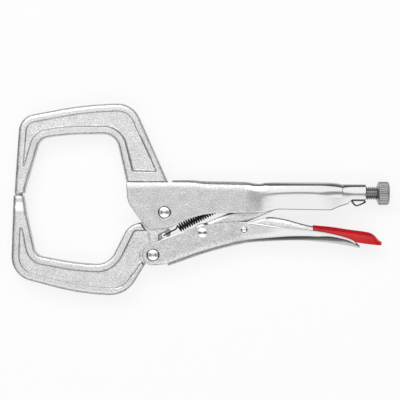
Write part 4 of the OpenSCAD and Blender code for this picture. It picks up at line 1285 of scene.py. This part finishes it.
def make_stage():
    """Pale floor under the pliers, an even sky that darkens towards the horizon, one wide soft lamp
    and a long lens straight above."""
    scene = bpy.context.scene
    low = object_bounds()[0]
    floor_z = low[2] - 0.0004
    reach = 3.0
    mesh = bpy.data.meshes.new("floor")
    mesh.from_pydata([(x * reach, y * reach, floor_z)
                      for x, y in ((-1, -1), (1, -1), (1, 1), (-1, 1))], [], [(0, 1, 2, 3)])
    floor = placed("floor", mesh)
    material, tree, _ = new_material("matt white floor")
    paint = add_node(tree, "BsdfDiffuse",
                     {"Color": linear(scene.pliers_finish.floor_colour)})
    plain = add_node(tree, "Emission", {"Color": (1, 1, 1, 1), "Strength": 1.0})
    ray = add_node(tree, "LightPath")
    seen = ray.outputs["Is Camera Ray"]
    for kind in ("Is Glossy Ray", "Is Transmission Ray"):
        seen = add_node(tree, "Math", {0: seen, 1: ray.outputs[kind]}, operation="MAXIMUM")
    share = add_node(tree, "Math", {0: seen, 1: 0.8}, operation="MULTIPLY")
    mix = add_node(tree, "MixShader", {0: share, 1: paint, 2: plain})
    add_node(tree, "OutputMaterial", {"Surface": mix})
    mesh.materials.append(material)
    floor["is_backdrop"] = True

    world = bpy.data.worlds.new("studio sky")
    scene.world = world
    world.use_nodes = True
    tree = world.node_tree
    tree.nodes.clear()
    direction = add_node(tree, "TexCoord").outputs["Generated"]
    axes = add_node(tree, "SeparateXYZ", {"Vector": direction}).outputs
    ramp = add_node(tree, "ValToRGB", {"Fac": axes["Z"]})
    stops = [(0.0, 0.3), (0.14, 0.24), (0.28, 0.06), (0.42, 0.06), (0.55, 0.6), (0.66, 1.35),
             (0.8, 1.45), (1.0, 1.45)]
    for position, _ in stops[1:-1]:
        ramp.color_ramp.elements.new(position)
    for element, (position, value) in zip(ramp.color_ramp.elements, stops):
        element.position = position
        element.color = (value, value, value, 1)
    # Between the two halves of the sky a darker gap runs along X, wider towards its ends.
    along, across = (add_node(tree, "Math", {0: axes[k]}, operation="ABSOLUTE") for k in "XY")
    edge = add_node(tree, "Math", {0: along, 1: 0.3, 2: 0.08}, operation="MULTIPLY_ADD")
    beyond = add_node(tree, "Math", {0: across, 1: edge}, operation="SUBTRACT")
    gap = add_node(tree, "MapRange",
                   {"Value": beyond, "From Min": -0.03, "From Max": 0.04, "To Min": 0.3})
    sky = add_node(tree, "Background", {"Color": ramp, "Strength": gap})
    add_node(tree, "OutputWorld", {"Surface": sky})

    light = bpy.data.lights.new("soft lamp", "AREA")
    light.shape = "DISK"
    light.size = 0.9
    light.energy = 4.0
    lamp = placed("soft lamp", light)
    lamp.location = (-0.25, 0.75, 1.1)
    aim = np.array([0.14, 0.0, 0.0]) - np.array(lamp.location)
    lamp.rotation_euler = (math.atan2(math.hypot(aim[0], aim[1]), -aim[2]), 0,
                           math.atan2(-aim[0], aim[1]))

    camera_data = bpy.data.cameras.new("camera")
    camera_data.lens = 180
    camera_data.sensor_width = 36
    camera_data.clip_end = 20
    camera = placed("camera", camera_data)
    field = 0.296
    distance = field * camera_data.lens / camera_data.sensor_width + 0.006
    camera.location = (0.1343, -0.00407, distance)
    scene.camera = camera
    scene.view_settings.view_transform = "Standard"


# ---- Operators and panel ---------------------------------------------------------------------

class MakesPieces:
    """What the operators share: each calls its makers in order."""

    def execute(self, context):
        for make in self.makers:
            make()
        return {"FINISHED"}


class PLIERS_OT_jaws(MakesPieces, bpy.types.Operator):
    """Make both forged jaws and the spring's lug"""

    bl_idname = "pliers.jaws"
    bl_label = "Forged jaws"
    makers = (make_fixed_jaw, make_fixed_tang, make_moving_jaw, make_spring_lug)


class PLIERS_OT_body(MakesPieces, bpy.types.Operator):
    """Make the pressed body"""

    bl_idname = "pliers.body"
    bl_label = "Pressed body"
    makers = (make_body,)


class PLIERS_OT_handle(MakesPieces, bpy.types.Operator):
    """Make the pressed lower handle"""

    bl_idname = "pliers.handle"
    bl_label = "Lower handle"
    makers = (make_lower_handle,)


class PLIERS_OT_link(MakesPieces, bpy.types.Operator):
    """Make the toggle link"""

    bl_idname = "pliers.link"
    bl_label = "Toggle link"
    makers = (make_toggle_link,)


class PLIERS_OT_lever(MakesPieces, bpy.types.Operator):
    """Make the release lever and its dipped grip"""

    bl_idname = "pliers.lever"
    bl_label = "Release lever and grip"
    makers = (make_release_lever, make_lever_grip)


class PLIERS_OT_screw(MakesPieces, bpy.types.Operator):
    """Make the adjusting screw, its knob and its clip"""

    bl_idname = "pliers.screw"
    bl_label = "Screw, knob and clip"
    makers = (make_screw, make_knob, make_clip)


class PLIERS_OT_rivets(MakesPieces, bpy.types.Operator):
    """Make the rivets and pins"""

    bl_idname = "pliers.rivets"
    bl_label = "Rivets and pins"
    makers = (make_rivets,)


class PLIERS_OT_spring(MakesPieces, bpy.types.Operator):
    """Make the tension spring"""

    bl_idname = "pliers.spring"
    bl_label = "Tension spring"
    makers = (make_spring,)


class PLIERS_OT_stage(MakesPieces, bpy.types.Operator):
    """Make the floor, the light and the camera"""

    bl_idname = "pliers.stage"
    bl_label = "Stage"
    makers = (make_stage,)


operators = (PLIERS_OT_jaws, PLIERS_OT_body, PLIERS_OT_handle, PLIERS_OT_link, PLIERS_OT_lever,
             PLIERS_OT_screw, PLIERS_OT_rivets, PLIERS_OT_spring, PLIERS_OT_stage)


class PLIERS_PT_panel(bpy.types.Panel):
    """Sizes, colours and the operators in the sidebar"""

    bl_idname = "PLIERS_PT_panel"
    bl_label = "Locking pliers"
    bl_space_type = "VIEW_3D"
    bl_region_type = "UI"
    bl_category = "Pliers"

    def draw(self, context):
        layout = self.layout
        for group in (context.scene.pliers_sizes, context.scene.pliers_finish):
            box = layout.box()
            for name in group.__annotations__:
                box.prop(group, name)
        for operator in operators:
            layout.operator(operator.bl_idname)


classes = (PliersSizes, PliersFinish, *operators, PLIERS_PT_panel)


def register():
    for cls in classes:
        bpy.utils.register_class(cls)
    bpy.types.Scene.pliers_sizes = PointerProperty(type=PliersSizes)
    bpy.types.Scene.pliers_finish = PointerProperty(type=PliersFinish)


def unregister():
    del bpy.types.Scene.pliers_finish
    del bpy.types.Scene.pliers_sizes
    for cls in reversed(classes):
        bpy.utils.unregister_class(cls)


def main():
    """Registers the add-on and makes every piece in order."""
    register()
    bpy.ops.pliers.jaws()
    bpy.ops.pliers.body()
    bpy.ops.pliers.handle()
    bpy.ops.pliers.link()
    bpy.ops.pliers.lever()
    bpy.ops.pliers.screw()
    bpy.ops.pliers.rivets()
    bpy.ops.pliers.spring()
    bpy.ops.pliers.stage()


if __name__ == "__main__":
    main()
